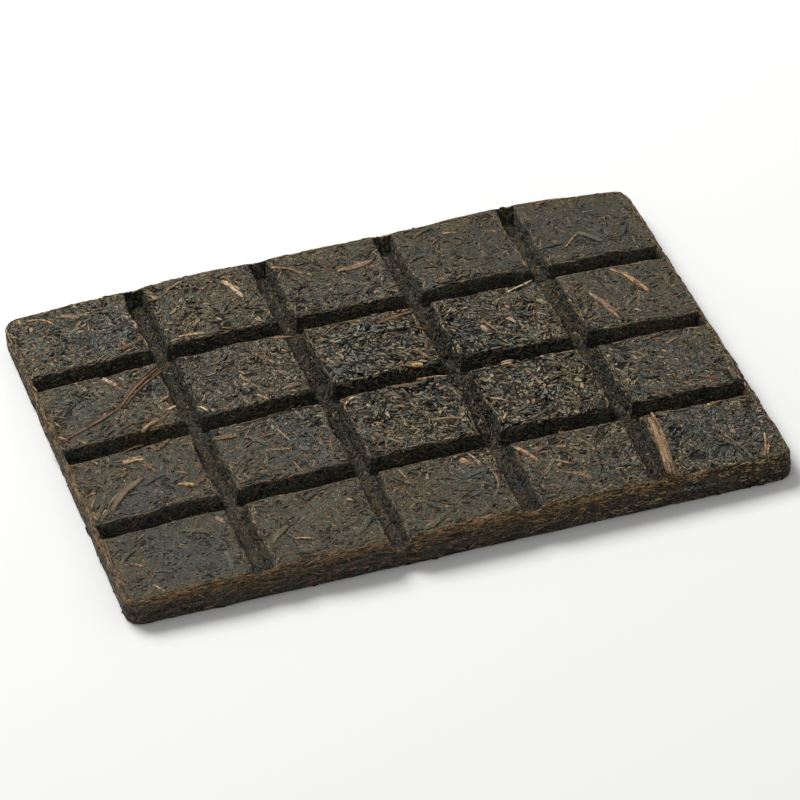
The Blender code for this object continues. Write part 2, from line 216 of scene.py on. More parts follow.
@dataclass(frozen=True)
class Scoring:
    """Half of the slab's size along one axis, and the grooves that cross that axis."""

    half: float
    centres: Array
    groove_width: float

    def from_groove(self, position: Array) -> Array:
        """Distance to the nearest groove's edge, below zero in the groove."""
        return np.abs(position[..., None] - self.centres).min(axis=-1) - self.groove_width / 2

    def block_spans(self, inset: float) -> list[Span]:
        """Finds where the blocks start and end.

        Args:
            inset: How far the outer blocks stay from the slab's edge.

        Returns:
            The start and end of each block.
        """
        edges = [-self.half + inset]
        for centre in self.centres:
            edges += [centre - self.groove_width / 2, centre + self.groove_width / 2]
        edges.append(self.half - inset)
        return list(zip(edges[::2], edges[1::2]))


@dataclass(frozen=True)
class BrickForm:
    """Form of the scored brick, in the frame that its solid was modelled in."""

    length: float = 200.0 * MM
    width: float = 159.0 * MM
    columns: int = 5
    rows: int = 4
    column_pitch: float = 40.0 * MM
    row_pitch: float = 40.5 * MM
    first_column_groove: float = -59.1 * MM
    first_row_groove: float = -41.4 * MM
    edge_thickness: float = 7.8 * MM
    arch_along_x: float = 2.2 * MM
    arch_along_y: float = 0.3 * MM
    arch_half_length: float = 100.0 * MM
    arch_half_width: float = 66.0 * MM
    corner_radius: float = 5.5 * MM
    column_groove_width: float = 6.1 * MM
    row_groove_width: float = 7.4 * MM
    groove_depth: float = 4.75 * MM
    wall_run: float = 1.3 * MM
    shoulder: float = 0.9 * MM
    shoulder_drop: float = 0.32 * MM
    rim: float = 1.0 * MM
    rim_slope: float = 1.3 * MM
    rim_drop: float = 0.7 * MM
    usual_rim: float = 0.92
    near_rims: tuple[float, ...] = (0.85, 0.2, 0.75, 1.0)
    side_rows: int = 9
    side_relief: float = 0.15 * MM
    side_relief_size: Span = (5.0 * MM, 2.0 * MM)
    side_relief_fade: float = 0.25
    base_inset: float = 0.5 * MM
    base_inset_from: float = 0.12
    edge_wave: float = 0.3 * MM
    edge_wave_size: float = 9.0 * MM
    edge_wave_shares: Span = (0.6, 0.4)
    edge_fineness: int = 3
    edge_wave_reach: float = 5.0 * MM
    outward_power: int = 15
    outward_floor: float = 1e-9
    swell: float = 0.9 * MM
    swell_centre: float = 61.0 * MM
    swell_half_length: float = 23.0 * MM
    swell_reach: float = 14.0 * MM
    chip_centre: Point = (-47.0 * MM, -79.0 * MM)
    chip_radius: float = 3.4 * MM
    chip_depth: float = 2.2 * MM
    grain_height: float = 0.25 * MM
    grain_size: float = 5.5 * MM
    tilt_height: float = 0.22 * MM
    tilt_size: float = 40.0 * MM
    rough_centre: Point = (20.0 * MM, 0.0)
    rough_radius: float = 42.0 * MM
    rough_gain: float = 1.9
    wander: float = 0.6 * MM
    wander_size: float = 7.0 * MM
    wander_reach: float = 4.0 * MM

    @property
    def along_x(self) -> Scoring:
        """The slab along X, with the grooves that run along Y."""
        centres = self.first_column_groove + self.column_pitch * np.arange(self.columns - 1)
        return Scoring(self.length / 2, centres, self.column_groove_width)

    @property
    def along_y(self) -> Scoring:
        """The slab along Y, with the grooves that run along X."""
        centres = self.first_row_groove + self.row_pitch * np.arange(self.rows - 1)
        return Scoring(self.width / 2, centres, self.row_groove_width)

    def inside(self, x: Array, y: Array) -> Array:
        """Distance from points of the plan to the slab's nearest straight edge."""
        return np.minimum(self.length / 2 - np.abs(x), self.width / 2 - np.abs(y))

    def groove_cut(self, distance: Array) -> Array:
        """How deep a groove cuts at distances from its edge.

        Args:
            distance: Distances from the groove's edge, below zero in the groove.

        Returns:
            A depth for each distance.
        """
        across = (-self.wall_run, 0.0, self.shoulder / 2, self.shoulder)
        depths = (self.groove_depth, self.shoulder_drop, self.shoulder_drop / 4, 0.0)
        return np.interp(distance, across, depths)

    def open_share(self, position: Array, half: float, rim_height: Array) -> Array:
        """Share of a groove's depth that is open at positions along it."""
        open_part = np.clip((half - np.abs(position) - self.rim) / self.rim_slope, 0.0, 1.0)
        return 1 - rim_height * (1 - open_part)

    def column_rim_height(self, x: Array, y: Array) -> Array:
        """Height of the rim at a column groove's end, as a share of the groove's depth."""
        groove = np.abs(x[..., None] - self.along_x.centres).argmin(axis=-1)
        return np.where(y < 0, np.array(self.near_rims)[groove], self.usual_rim)

    def swell_share(self, x: Array, y: Array) -> Array:
        """How much of the far edge's swell there is at points of the plan."""
        along = np.exp(-(((x - self.swell_centre) / self.swell_half_length) ** 4))
        return along * np.clip(1 - (self.width / 2 - y) / self.swell_reach, 0.0, 1.0)

    def rough_share(self, x: Array, y: Array) -> Array:
        """How rough the surface is, from 0 on the outer blocks to 1 on the roughest."""
        apart = np.hypot(x - self.rough_centre[0], y - self.rough_centre[1])
        return np.exp(-((apart / self.rough_radius) ** 4))

    def pressed_height(self, x: Array, y: Array) -> Array:
        """Height of the block tops, with their long waves but without grooves.

        Args:
            x: Places along the brick.
            y: Places across it.

        Returns:
            A height for each place.
        """
        arch_x = self.arch_along_x * (1 - (x / self.arch_half_length) ** 2)
        arch_y = self.arch_along_y * (1 - (y / self.arch_half_width) ** 2)
        waves = self.tilt_height * sized_noise(x, y, self.tilt_size, Noise.TILT)
        return self.edge_thickness + arch_x + arch_y + waves + self.swell * self.swell_share(x, y)

    def surface_height(self, x: Array, y: Array) -> Array:
        """Height of the scored top: blocks, grooves, rims, rounded edge and the chip.

        Args:
            x: Places along the brick.
            y: Places across it.

        Returns:
            A height for each place.
        """
        column_cut = self.groove_cut(self.along_x.from_groove(x))
        column_cut = column_cut * self.open_share(y, self.width / 2, self.column_rim_height(x, y))
        row_cut = self.groove_cut(self.along_y.from_groove(y))
        row_cut = row_cut * self.open_share(x, self.length / 2, self.usual_rim)
        edge_cut = self.rim_drop * np.clip(1 - self.inside(x, y) / self.rim, 0.0, 1.0)
        apart = np.hypot(x - self.chip_centre[0], y - self.chip_centre[1]) / self.chip_radius
        chip_cut = self.chip_depth * np.clip(1 - apart, 0.0, 1.0)
        gain = 1 + (self.rough_gain - 1) * self.rough_share(x, y)
        grain = self.grain_height * gain * sized_noise(x, y, self.grain_size, Noise.GRAIN)
        return self.pressed_height(x, y) - np.maximum(column_cut, row_cut) - edge_cut - chip_cut + grain

    def round_corner(self, x: Array, y: Array) -> tuple[Array, Array]:
        """Moves the square corners of the plan onto arcs of the corner radius.

        Args:
            x: Places along the brick.
            y: Places across it.

        Returns:
            The moved places along and across the brick.
        """
        radius = self.corner_radius
        right = np.clip((np.abs(x) - self.length / 2 + radius) / radius, 0.0, 1.0)
        far = np.clip((np.abs(y) - self.width / 2 + radius) / radius, 0.0, 1.0)
        pulled_x = radius * right * (1 - np.sqrt(1 - far**2 / 2))
        pulled_y = radius * far * (1 - np.sqrt(1 - right**2 / 2))
        return x - np.sign(x) * pulled_x, y - np.sign(y) * pulled_y

    def outward(self, x: Array, y: Array) -> tuple[Array, Array]:
        """Finds the direction out of the slab, across its outline.

        Args:
            x: Places along the brick, near its edge.
            y: Places across it.

        Returns:
            The direction's parts along and across the brick.
        """
        out_x = (x / self.length * 2) ** self.outward_power
        out_y = (y / self.width * 2) ** self.outward_power
        size = np.hypot(out_x, out_y) + self.outward_floor
        return out_x / size, out_y / size

    def plan_place(self, x: Array, y: Array) -> tuple[Array, Array]:
        """Rounds the square grid's corners, and lets its lines wander and its edge wave.

        Args:
            x: Places of the square grid along the brick.
            y: Places of the square grid across it.

        Returns:
            Where those places lie along and across the brick.
        """
        inside = self.inside(x, y)
        wander = self.wander * np.clip(inside / self.wander_reach, 0.0, 1.0)
        moved_x, moved_y = self.round_corner(x, y)
        moved_x = moved_x + wander * sized_noise(x, y, self.wander_size, Noise.WANDER_X)
        moved_y = moved_y + wander * sized_noise(x, y, self.wander_size, Noise.WANDER_Y)
        fineness = self.edge_fineness
        coarse = sized_noise(x, y, self.edge_wave_size, Noise.EDGE_COARSE)
        fine = sized_noise(fineness * x, fineness * y, self.edge_wave_size, Noise.EDGE_FINE)
        stray = self.edge_wave * (self.edge_wave_shares[0] * coarse + self.edge_wave_shares[1] * fine)
        stray = stray * np.clip(1 - inside / self.edge_wave_reach, 0.0, 1.0)
        out_x, out_y = self.outward(x, y)
        swell = self.swell * self.swell_share(x, y)
        return moved_x + stray * out_x, moved_y + stray * out_y + swell

    def grid_lines(self, axis: Scoring, step: float) -> Array:
        """Grid lines over the slab along one axis, no further apart than a step.

        Args:
            axis: The axis.
            step: Most distance between two lines, measured over the surface.

        Returns:
            The lines' places, from the lowest.
        """
        half_groove = axis.groove_width / 2
        from_centre = (
            -half_groove - self.shoulder,
            -half_groove - self.shoulder / 2,
            -half_groove,
            -half_groove + self.wall_run,
        )
        marks = []
        for inset in (0.0, self.rim, self.rim + self.rim_slope):
            marks += [-axis.half + inset, axis.half - inset]
        for centre in axis.centres:
            marks += [centre + away for away in from_centre] + [centre - away for away in from_centre]
        marks = np.array(sorted(marks))
        cuts = self.groove_cut(axis.from_groove(marks))
        lines = [marks[:1]]
        for start, end, drop in zip(marks[:-1], marks[1:], np.abs(np.diff(cuts))):
            parts = math.ceil(math.hypot(end - start, drop) / step)
            lines.append(np.linspace(start, end, parts + 1)[1:])
        return np.concatenate(lines)

    def top_regions(self, x: Array, y: Array) -> tuple[Array, Array]:
        """What part of the brick points of the top belong to, and which way its leaf runs.

        Args:
            x: Places along the brick.
            y: Places across it.

        Returns:
            The number of each place's region, and a direction that is zero where any will do.
        """
        to_column = self.along_x.from_groove(x)
        to_row = self.along_y.from_groove(y)
        inside = self.inside(x, y)
        nearest = np.minimum(to_column, to_row)
        regions = np.full(len(x), Region.TOP.value)
        regions[nearest < self.shoulder] = Region.BROW.value
        regions[nearest < 0] = Region.WALL.value
        regions[nearest < -self.wall_run] = Region.FLOOR.value
        regions[inside < self.rim] = Region.RIM.value
        grain = np.where((to_column < to_row)[:, None], (0.0, 1.0, 0.0), (1.0, 0.0, 0.0))
        grain[regions == Region.TOP.value] = 0.0
        out_x, out_y = self.outward(x, y)
        on_rim = inside < self.rim
        grain[on_rim] = np.column_stack((-out_y, out_x, np.zeros(len(x))))[on_rim]
        return regions, grain

    def shell(self, step: float) -> Shell:
        """Makes the brick's closed surface.

        Args:
            step: Most distance between two grid lines.

        Returns:
            The surface, its quads facing out.
        """
        lines = (self.grid_lines(axis, step) for axis in (self.along_x, self.along_y))
        grid_x, grid_y = np.meshgrid(*lines, indexing="ij")
        place_x, place_y = self.plan_place(grid_x, grid_y)
        top = np.stack((place_x, place_y, self.surface_height(grid_x, grid_y)), axis=-1)
        index = np.arange(grid_x.size).reshape(grid_x.shape)
        loop = np.concatenate((index[:-1, 0], index[-1, :-1], index[:0:-1, -1], index[0, :0:-1]))
        rings = self.side_rings(top.reshape(-1, 3)[loop])
        ring_index = [loop]
        for row in range(self.side_rows):
            ring_index.append(grid_x.size + row * len(loop) + np.arange(len(loop)))
        base_index = index + grid_x.size + self.side_rows * len(loop)
        base = np.stack((place_x, place_y, np.zeros_like(place_x)), axis=-1)
        base_index.reshape(-1)[loop] = ring_index[-1]

        def cells(numbers: Array) -> Array:
            """Quads of a grid of point numbers, facing up."""
            corners = (numbers[:-1, :-1], numbers[1:, :-1], numbers[1:, 1:], numbers[:-1, 1:])
            return np.stack(corners, axis=-1).reshape(-1, 4)

        top_quads = cells(index)
        side_quads = []
        for above, below in zip(ring_index[:-1], ring_index[1:]):
            corners = (above, below, np.roll(below, -1), np.roll(above, -1))
            side_quads.append(np.stack(corners, axis=-1))
        side_quads = np.concatenate(side_quads)
        base_quads = cells(base_index)[:, ::-1]
        middle_x = (grid_x[:-1, :-1] + grid_x[1:, 1:]).reshape(-1) / 2
        middle_y = (grid_y[:-1, :-1] + grid_y[1:, 1:]).reshape(-1) / 2
        regions, grain = self.top_regions(middle_x, middle_y)
        points = np.concatenate((top.reshape(-1, 3), rings, base.reshape(-1, 3)))
        out_x, out_y = self.outward(*points[side_quads[:, 0], :2].T)
        side_grain = np.column_stack((-out_y, out_x, np.zeros(len(side_quads))))
        side_regions = np.full(len(side_quads), Region.SIDE.value)
        side_regions[: len(loop)] = Region.RIM.value
        base_regions = np.full(len(base_quads), Region.BASE.value)
        return Shell(
            points,
            np.concatenate((top_quads, side_quads, base_quads)),
            np.concatenate((regions, side_regions, base_regions)),
            np.concatenate((grain, side_grain, np.zeros((len(base_quads), 3)))),
        )

    def side_rings(self, edge: Array) -> Array:
        """Rows of points down the sides, below the top's outline.

        Args:
            edge: Points of the top's outline, in order.

        Returns:
            The points of all rows, from the highest row to the base.
        """
        run = np.linalg.norm(np.diff(edge, axis=0, append=edge[:1]), axis=-1).cumsum()
        out_x, out_y = self.outward(edge[:, 0], edge[:, 1])
        rings = []
        for share in np.linspace(1.0, 0.0, self.side_rows + 1)[1:]:
            height = edge[:, 2] * share
            run_size, height_size = self.side_relief_size
            relief = lattice_noise(run / run_size, height / height_size, Noise.SIDE)
            relief = relief * self.side_relief * min(1.0, share / self.side_relief_fade)
            inset = self.base_inset * max(0.0, 1 - share / self.base_inset_from)
            step = relief - inset
            rings.append(np.column_stack((edge[:, 0] + out_x * step, edge[:, 1] + out_y * step, height)))
        return np.concatenate(rings)


def make_object(
    name: str,
    points: Array,
    faces: list[Array],
    smooth: bool,
    vectors: dict[str, Array] | None = None,
) -> bpy.types.Object:
    """Makes an object of the scene from arrays.

    Args:
        name: The object's name.
        points: Its points, in the frame that the solid was modelled in.
        faces: Arrays of point numbers, each with one row for a face.
        smooth: Whether its faces are shaded smooth.
        vectors: Named vectors that each point carries.

    Returns:
        The object, linked to the scene and inside the solid's box.
    """
    low, high = (np.array(corner) for corner in CAD_BOX)
    inside = np.clip(points - CENTRING, low, high)
    mesh = bpy.data.meshes.new(name)
    mesh.vertices.add(len(inside))
    mesh.vertices.foreach_set("co", inside.astype(np.float32).ravel())
    corners = np.concatenate([kind.ravel() for kind in faces])
    sizes = np.concatenate([np.full(len(kind), kind.shape[1]) for kind in faces])
    mesh.loops.add(len(corners))
    mesh.loops.foreach_set("vertex_index", corners.astype(np.int32))
    mesh.polygons.add(len(sizes))
    starts = np.concatenate(([0], sizes.cumsum()[:-1]))
    mesh.polygons.foreach_set("loop_start", starts.astype(np.int32))
    mesh.polygons.foreach_set("use_smooth", np.full(len(sizes), smooth))
    mesh.update(calc_edges=True)
    for label, values in (vectors or {}).items():
        layer = mesh.attributes.new(label, "FLOAT_VECTOR", "POINT")
        layer.data.foreach_set("vector", values.astype(np.float32).ravel())
    piece = bpy.data.objects.new(name, mesh)
    bpy.context.scene.collection.objects.link(piece)
    return piece


def triangle_count(piece: bpy.types.Object) -> int:
    """How many triangles a piece has."""
    return sum(len(face.vertices) - 2 for face in piece.data.polygons)


def hand_over(piece: bpy.types.Object, material: bpy.types.Material) -> None:
    """Dresses a piece, hangs it under the body, hides the solid that it stands in for and reports it.

    Args:
        piece: The piece.
        material: Its finish.
    """
    piece.data.materials.append(material)
    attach(piece, BODY)
    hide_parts(NODE)
    log.info("%s: %d triangles", piece.name, triangle_count(piece))


UNIT = (0.0, 1.0)
CLOUD = (0.3, 0.7)  # where most of a cloudy noise lies
CLOUD_ROUGHNESS = 0.6
# Colours of the finest shreds, from the darkest to the rarest, and where on a ramp each stands.
FINE_LEAF = (
    (0.00, (0.012, 0.011, 0.009)),
    (0.12, (0.021, 0.024, 0.022)),
    (0.34, (0.031, 0.038, 0.036)),
    (0.60, (0.044, 0.048, 0.039)),
    (0.80, (0.070, 0.061, 0.040)),
    (0.91, (0.105, 0.070, 0.038)),
    (0.97, (0.240, 0.170, 0.090)),
)


class Graph:
    """Shorthand for the node tree of one material."""

    def __init__(self, name: str) -> None:
        """Starts a material with nothing but its shader.

        Args:
            name: The material's name.
        """
        self.material = bpy.data.materials.new(name)
        self.material.use_nodes = True
        self.tree = self.material.node_tree
        self.shader = self.tree.nodes["Principled BSDF"]

    def node(self, kind: str, inputs: dict | None = None, **settings: object) -> bpy.types.Node:
        """Adds a node.

        Args:
            kind: The node's type, without its "ShaderNode".
            inputs: What its sockets hold or are fed by, by the socket's name or number.
            **settings: Its own settings.

        Returns:
            The node.
        """
        made = self.tree.nodes.new("ShaderNode" + kind)
        for name, value in settings.items():
            setattr(made, name, value)
        for name, value in (inputs or {}).items():
            if isinstance(value, Socket):
                self.tree.links.new(value, made.inputs[name])
            else:
                made.inputs[name].default_value = value
        return made

    def carried(self, label: str) -> Socket:
        """A vector that the mesh's points carry."""
        return self.node("Attribute", attribute_name=label).outputs["Vector"]

    def place(self) -> Socket:
        """Where the shaded point lies on the piece."""
        return self.node("TexCoord").outputs["Object"]

    def math(self, operation: str, first: object, second: object = 0.0) -> Socket:
        """Result of a sum on two numbers."""
        return self.node("Math", {0: first, 1: second}, operation=operation).outputs[0]

    def product(self, first: Socket, *others: object) -> Socket:
        """Multiplies numbers together.

        Args:
            first: The first number.
            *others: The others, in their order.

        Returns:
            Their product.
        """
        for other in others:
            first = self.math("MULTIPLY", first, other)
        return first

    def vector_math(self, operation: str, first: object, second: object) -> Socket:
        """Result of a sum on two vectors or colours."""
        return self.node("VectorMath", {0: first, 1: second}, operation=operation).outputs[0]

    def parts(self, vector: Socket) -> tuple[Socket, ...]:
        """The three numbers of a vector or colour."""
        return tuple(self.node("SeparateXYZ", {0: vector}).outputs)

    def blend(self, share: Socket, first: object, second: object) -> Socket:
        """Two vectors or colours mixed: the first at 0, the second at 1."""
        mixing = {"Factor": share, "A": first, "B": second}
        return self.node("Mix", mixing, data_type="VECTOR").outputs["Result"]

    def stretch(self, value: Socket, source: Span, target: Span) -> Socket:
        """The value moved from one range to another and held inside it."""
        spans = {"From Min": source[0], "From Max": source[1], "To Min": target[0], "To Max": target[1]}
        return self.node("MapRange", {"Value": value, **spans}).outputs["Result"]

    def around_one(self, value: Socket, source: Span, share: float) -> Socket:
        """The value moved to a range from a share below one to a share above it."""
        return self.stretch(value, source, (1 - share, 1 + share))

    def tinted(self, colour: object, gain: object) -> Socket:
        """A colour times a number."""
        return self.node("VectorMath", {0: colour, "Scale": gain}, operation="SCALE").outputs[0]

    def noise(self, place: Socket, scale: float, detail: float = 2.0) -> Socket:
        """Cloudy noise from 0 to 1."""
        inputs = {"Vector": place, "Scale": scale, "Detail": detail, "Roughness": CLOUD_ROUGHNESS}
        return self.node("TexNoise", inputs).outputs["Fac"]

    def wobble(self, place: Socket, scale: float, amount: float) -> Socket:
        """A small random shift that drifts from place to place."""
        drift = self.node("TexNoise", {"Vector": place, "Scale": scale, "Detail": 1.0})
        return self.tinted(drift.outputs["Color"], amount)

    def cells(self, place: Socket, scale: float = 1.0, **settings: object) -> bpy.types.Node:
        """Cuts the surface into cells of random outline."""
        return self.node("TexVoronoi", {"Vector": place, "Scale": scale}, **settings)

    def palette_ramp(self, chance: Socket) -> Socket:
        """Colours each fine shred of pressed leaf by its random number.

        Args:
            chance: The shred's number, from 0 to 1.

        Returns:
            The shred's colour.
        """
        ramp = self.node("ValToRGB", {"Fac": chance})
        elements = ramp.color_ramp.elements
        for element, (spot, colour) in zip(elements, FINE_LEAF):
            element.position = spot
            element.color = (*colour, 1.0)
        for spot, colour in FINE_LEAF[len(elements) :]:
            elements.new(spot).color = (*colour, 1.0)
        return ramp.outputs["Color"]

    def feed(self, socket: str, value: object) -> None:
        """Sets one of the shader's sockets to a constant, or links a value to it.

        Args:
            socket: The socket's name.
            value: The constant or the value.
        """
        if isinstance(value, Socket):
            self.tree.links.new(value, self.shader.inputs[socket])
        else:
            self.shader.inputs[socket].default_value = value

    def emboss(self, height: Socket, strength: float, depth: float) -> None:
        """Gives the surface a fine relief."""
        bump = self.node("Bump", {"Strength": strength, "Distance": depth, "Height": height})
        self.feed("Normal", bump.outputs["Normal"])


@dataclass(frozen=True)
class CoreFinish:
    """Crumbled leaf that shows between the shreds: nearly black on top, dull in the grooves, with painted
    shade in its fine cracks.
    """

    cell_scale: float = 1100.0
    wobble: float = 0.0012
    wobble_scale: float = 600.0
    mottle_scale: float = 2300.0
    mottle: float = 0.6
    # Painted shade in the core's fine cracks.
    cracks: float = 0.7
    crack_width: Span = (0.02, 0.12)
    roughness: float = 0.75
    specular: float = 0.15
    bump: float = 0.6
    bump_depth: float = 0.15 * MM

    def build(self) -> bpy.types.Material:
        """Makes the material.

        Returns:
            The material.
        """
        graph = Graph("leaf_core")
        place = graph.place()
        spot = graph.vector_math("ADD", place, graph.wobble(place, self.wobble_scale, self.wobble))
        chance, _, _ = graph.parts(graph.cells(spot, self.cell_scale).outputs["Color"])
        edges = graph.cells(spot, self.cell_scale, feature="DISTANCE_TO_EDGE")
        crack_shade = graph.stretch(edges.outputs["Distance"], self.crack_width, (1 - self.cracks, 1.0))
        mottle = graph.noise(place, self.mottle_scale)
        spots = graph.around_one(mottle, CLOUD, self.mottle)
        colour = graph.vector_math("MULTIPLY", graph.palette_ramp(chance), graph.carried("zone"))
        graph.feed("Base Color", graph.tinted(colour, graph.product(crack_shade, spots)))
        graph.feed("Roughness", self.roughness)
        graph.feed("Specular IOR Level", self.specular)
        graph.emboss(graph.math("ADD", crack_shade, mottle), self.bump, self.bump_depth)
        return graph.material


@dataclass(frozen=True)
class LeafFinish:
    """Dry pressed leaf: a bundle of fine shreds of many colours, with painted shade in the cracks between
    them and a painted highlight on the cracks' rims.

    Each shred of the mesh carries its own tint, the tint of the zone it lies in, and
    coordinates along and across it, so that the fine pattern runs with the shred. It also
    carries its contrast: how strongly the grain shows there, from 0 to 1.
    """

    name: str
    cells: Span = (0.24, 0.62)
    cell_share: float = 0.4
    calm_share: float = 0.4
    calm_share_to: float = 0.7
    calm_cells: float = 1.9
    calm_cells_span: Span = (0.45, 0.95)
    wobble: float = 0.5
    wobble_scale: float = 900.0
    # Painted shade: how dark the cracks between the fine cells get and how far they open where the grain
    # shows; the rims beside them get a painted highlight.
    cracks: float = 0.95
    crack_width: float = 0.08
    crack_powers: Span = (0.25, 1.6)
    opening: float = 0.17
    least_opening: float = 0.3
    opening_span: Span = (0.35, 0.6)
    rim_highlight: float = 1.6
    rim_highlight_width: float = 0.22
    streak: float = 0.6
    streak_cells: Triple = (0.15, 2.4, 1.0)
    shading: float = 0.32
    ruddy: Colour = (1.30, 0.95, 0.80)
    greenish: Colour = (0.80, 1.03, 0.99)
    grain_scale: float = 1300.0
    grain_span: Span = (0.35, 0.65)
    smooth_power: float = 0.18
    rough_power: float = 1.1
    mottle: float = 0.42
    mottle_scale: float = 2300.0
    mottle_powers: Span = (1.0, 0.7)
    specks: float = 0.36
    speck_colour: Colour = (0.190, 0.112, 0.048)
    speck_scale: float = 1500.0
    speck_span: Span = (0.59, 0.68)
    brightness: float = 1.56
    rough_gain: float = 1.98
    most_gain: float = 1.55
    peak: Colour = (0.36, 0.30, 0.22)
    # Painted light on a shred's long edges: lighter as a painted highlight in some patches, darker as painted
    # shade in others.
    edge_light_gain: float = 0.5
    edge_shade: float = 0.5
    edge_span: Span = (0.6, 0.9)
    patch_scale: float = 300.0
    patch_span: Span = (0.42, 0.58)
    roughness: float = 0.55
    gloss_span: Span = (0.2, 0.8)
    gloss_drift: Span = (0.12, -0.08)
    specular: float = 0.1
    specular_tint: Colour = (1.0, 0.97, 0.90)
    bump: float = 0.45
    bump_depth: float = 0.12 * MM
    streak_bump: float = 0.6

    def shred_colour(self, graph: Graph, chance: Socket, hue: Socket, contrast: Socket) -> Socket:
        """Mixes the fine shreds' own colours into the tint that the mesh carries.

        Args:
            graph: The material's nodes.
            chance: Random number of a fine shred, for its colour.
            hue: Random number of a fine shred, for how ruddy it is.
            contrast: How strongly the grain shows.

        Returns:
            The colour, before any shading.
        """
        place = graph.place()
        shares = (self.calm_share * self.cell_share, self.cell_share)
        share = graph.stretch(contrast, (0.0, self.calm_share_to), shares)
        colour = graph.blend(share, graph.carried("tint"), graph.palette_ramp(chance))
        grain = graph.stretch(graph.noise(place, self.grain_scale), self.grain_span, UNIT)
        hue = graph.product(graph.math("ADD", hue, grain), 0.5)
        colour = graph.vector_math("MULTIPLY", colour, graph.blend(hue, self.ruddy, self.greenish))
        speckle = graph.noise(place, self.speck_scale, 3.0)
        speckle = graph.stretch(speckle, self.speck_span, (0.0, self.specks))
        colour = graph.blend(speckle, colour, self.speck_colour)
        return graph.vector_math("MULTIPLY", colour, graph.carried("zone"))

    def build(self) -> bpy.types.Material:
        """Makes the material.

        Returns:
            The material.
        """
        graph = Graph(self.name)
        strand = graph.carried("strand")
        place = graph.place()
        across, contrast, _ = graph.parts(graph.carried("lane"))
        spread = graph.vector_math("MULTIPLY", strand, (*self.cells, 1.0))
        spread = graph.tinted(spread, graph.stretch(contrast, self.calm_cells_span, (self.calm_cells, 1.0)))
        spread = graph.vector_math("ADD", spread, graph.wobble(place, self.wobble_scale, self.wobble))
        cell = graph.cells(spread, voronoi_dimensions="2D")
        chance, shade, hue = graph.parts(cell.outputs["Color"])
        colour = self.shred_colour(graph, chance, hue, contrast)

        streaks = graph.noise(graph.vector_math("MULTIPLY", strand, self.streak_cells), 1.0)
        mottle = graph.noise(place, self.mottle_scale)
        patch = graph.noise(place, self.patch_scale, 1.0)
        # The shred's long edges get a painted highlight in some patches and painted shade in others.
        edge = graph.stretch(graph.math("ABSOLUTE", across), self.edge_span, UNIT)
        edge = graph.product(edge, graph.stretch(patch, self.patch_span, (-self.edge_shade, self.edge_light_gain)))
        # Painted shade in the cracks between the fine cells, and a painted highlight along their rims.
        edges = graph.cells(spread, feature="DISTANCE_TO_EDGE", voronoi_dimensions="2D")
        opening = graph.stretch(patch, self.opening_span, (self.least_opening * self.opening, self.opening))
        open_to = graph.math("SUBTRACT", edges.outputs["Distance"], graph.product(opening, contrast))
        crack_shade = graph.stretch(open_to, (0.0, self.crack_width), (1 - self.cracks, 1.0))
        gain = graph.product(
            graph.around_one(streaks, CLOUD, self.streak),
            graph.around_one(shade, UNIT, self.shading),
            graph.math("ADD", edge, 1.0),
            graph.stretch(open_to, (self.crack_width, self.rim_highlight_width), (self.rim_highlight, 1.0)),
        )
        power = graph.stretch(contrast, UNIT, (self.smooth_power, self.rough_power))
        bright = graph.stretch(contrast, UNIT, (self.brightness, self.brightness * self.rough_gain))
        spots = graph.around_one(mottle, CLOUD, self.mottle)
        gain = graph.product(
            graph.math("POWER", graph.math("MINIMUM", gain, self.most_gain), power),
            bright,
            graph.math("POWER", spots, graph.stretch(contrast, UNIT, self.mottle_powers)),
            graph.math("POWER", crack_shade, graph.stretch(contrast, UNIT, self.crack_powers)),
        )
        graph.feed("Base Color", graph.vector_math("MINIMUM", graph.tinted(colour, gain), self.peak))
        dull, glossy = (self.roughness + drift for drift in self.gloss_drift)
        graph.feed("Roughness", graph.stretch(mottle, self.gloss_span, (dull, glossy)))
        graph.feed("Specular IOR Level", self.specular)
        graph.feed("Specular Tint", (*self.specular_tint, 1.0))
        height = graph.math("ADD", graph.product(streaks, self.streak_bump), mottle)
        graph.emboss(graph.math("ADD", height, crack_shade), self.bump, self.bump_depth)
        return graph.material


@dataclass(frozen=True)
class Zone:
    """A round zone of the pressed top that is warmer or lighter than the rest, in millimetres."""

    centre: Point
    radius: float
    warmth: float
    light: float = 0.0


ZONES = (
    # Far row, from the left block.
    Zone((-70, 60), 9, -0.6),
    Zone((-90, 66), 9, 0.2, 0.08),
    Zone((-38, 64), 13, 0.4, 0.16),
    Zone((-46, 50), 8, 0.5, 0.05),
    Zone((-4, 70), 14, 0.5),
    Zone((6, 50), 10, 0, 0.05),
    Zone((42, 58), 13, -0.1, -0.08),
    Zone((33, 72), 7, 0.3),
    Zone((78, 58), 14, -0.4, -0.03),
    # Second row.
    Zone((-86, 24), 9, -0.4, 0.02),
    Zone((-72, 8), 9, 0.7, 0.04),
    Zone((-31, 28), 10, 0.4, 0.12),
    Zone((-51, 15), 7, -0.4),
    Zone((-40, 6), 9, 0.6, 0.06),
    Zone((-6, 20), 7, -0.4, -0.12),
    Zone((8, 8), 8, 0.6, 0.06),
    Zone((27, 16), 6, -0.7, -0.08),
    Zone((44, 22), 11, 0.5, 0.02),
    Zone((80, 20), 14, 0.2, 0.02),
    # Third row.
    Zone((-81, -29), 9, -0.9, 0.02),
    Zone((-86, -18), 8, 0.7, 0.05),
    Zone((-31, -20), 9, -0.5, 0.04),
    Zone((-52, -20), 7, -0.3, 0.02),
    Zone((2, -22), 13, 0.4, 0.08),
    Zone((-9, -9), 6, 0.2, -0.15),
    Zone((27, -18), 8, 0, -0.16),
    Zone((50, -24), 8, 0.9, 0.12),
    Zone((80, -22), 14, -0.2, -0.02),
    # Near row.
    Zone((-76, -62), 12, -0.8, 0.03),
    Zone((-93, -62), 6, 0.7, 0.08),
    Zone((-37, -58), 15, 0.6, 0.10),
    Zone((-10, -56), 12, 0.6, 0),
    Zone((8, -66), 9, 0.1, -0.08),
    Zone((36, -57), 12, 0.5, 0),
    Zone((80, -65), 11, -0.8, -0.10),
)


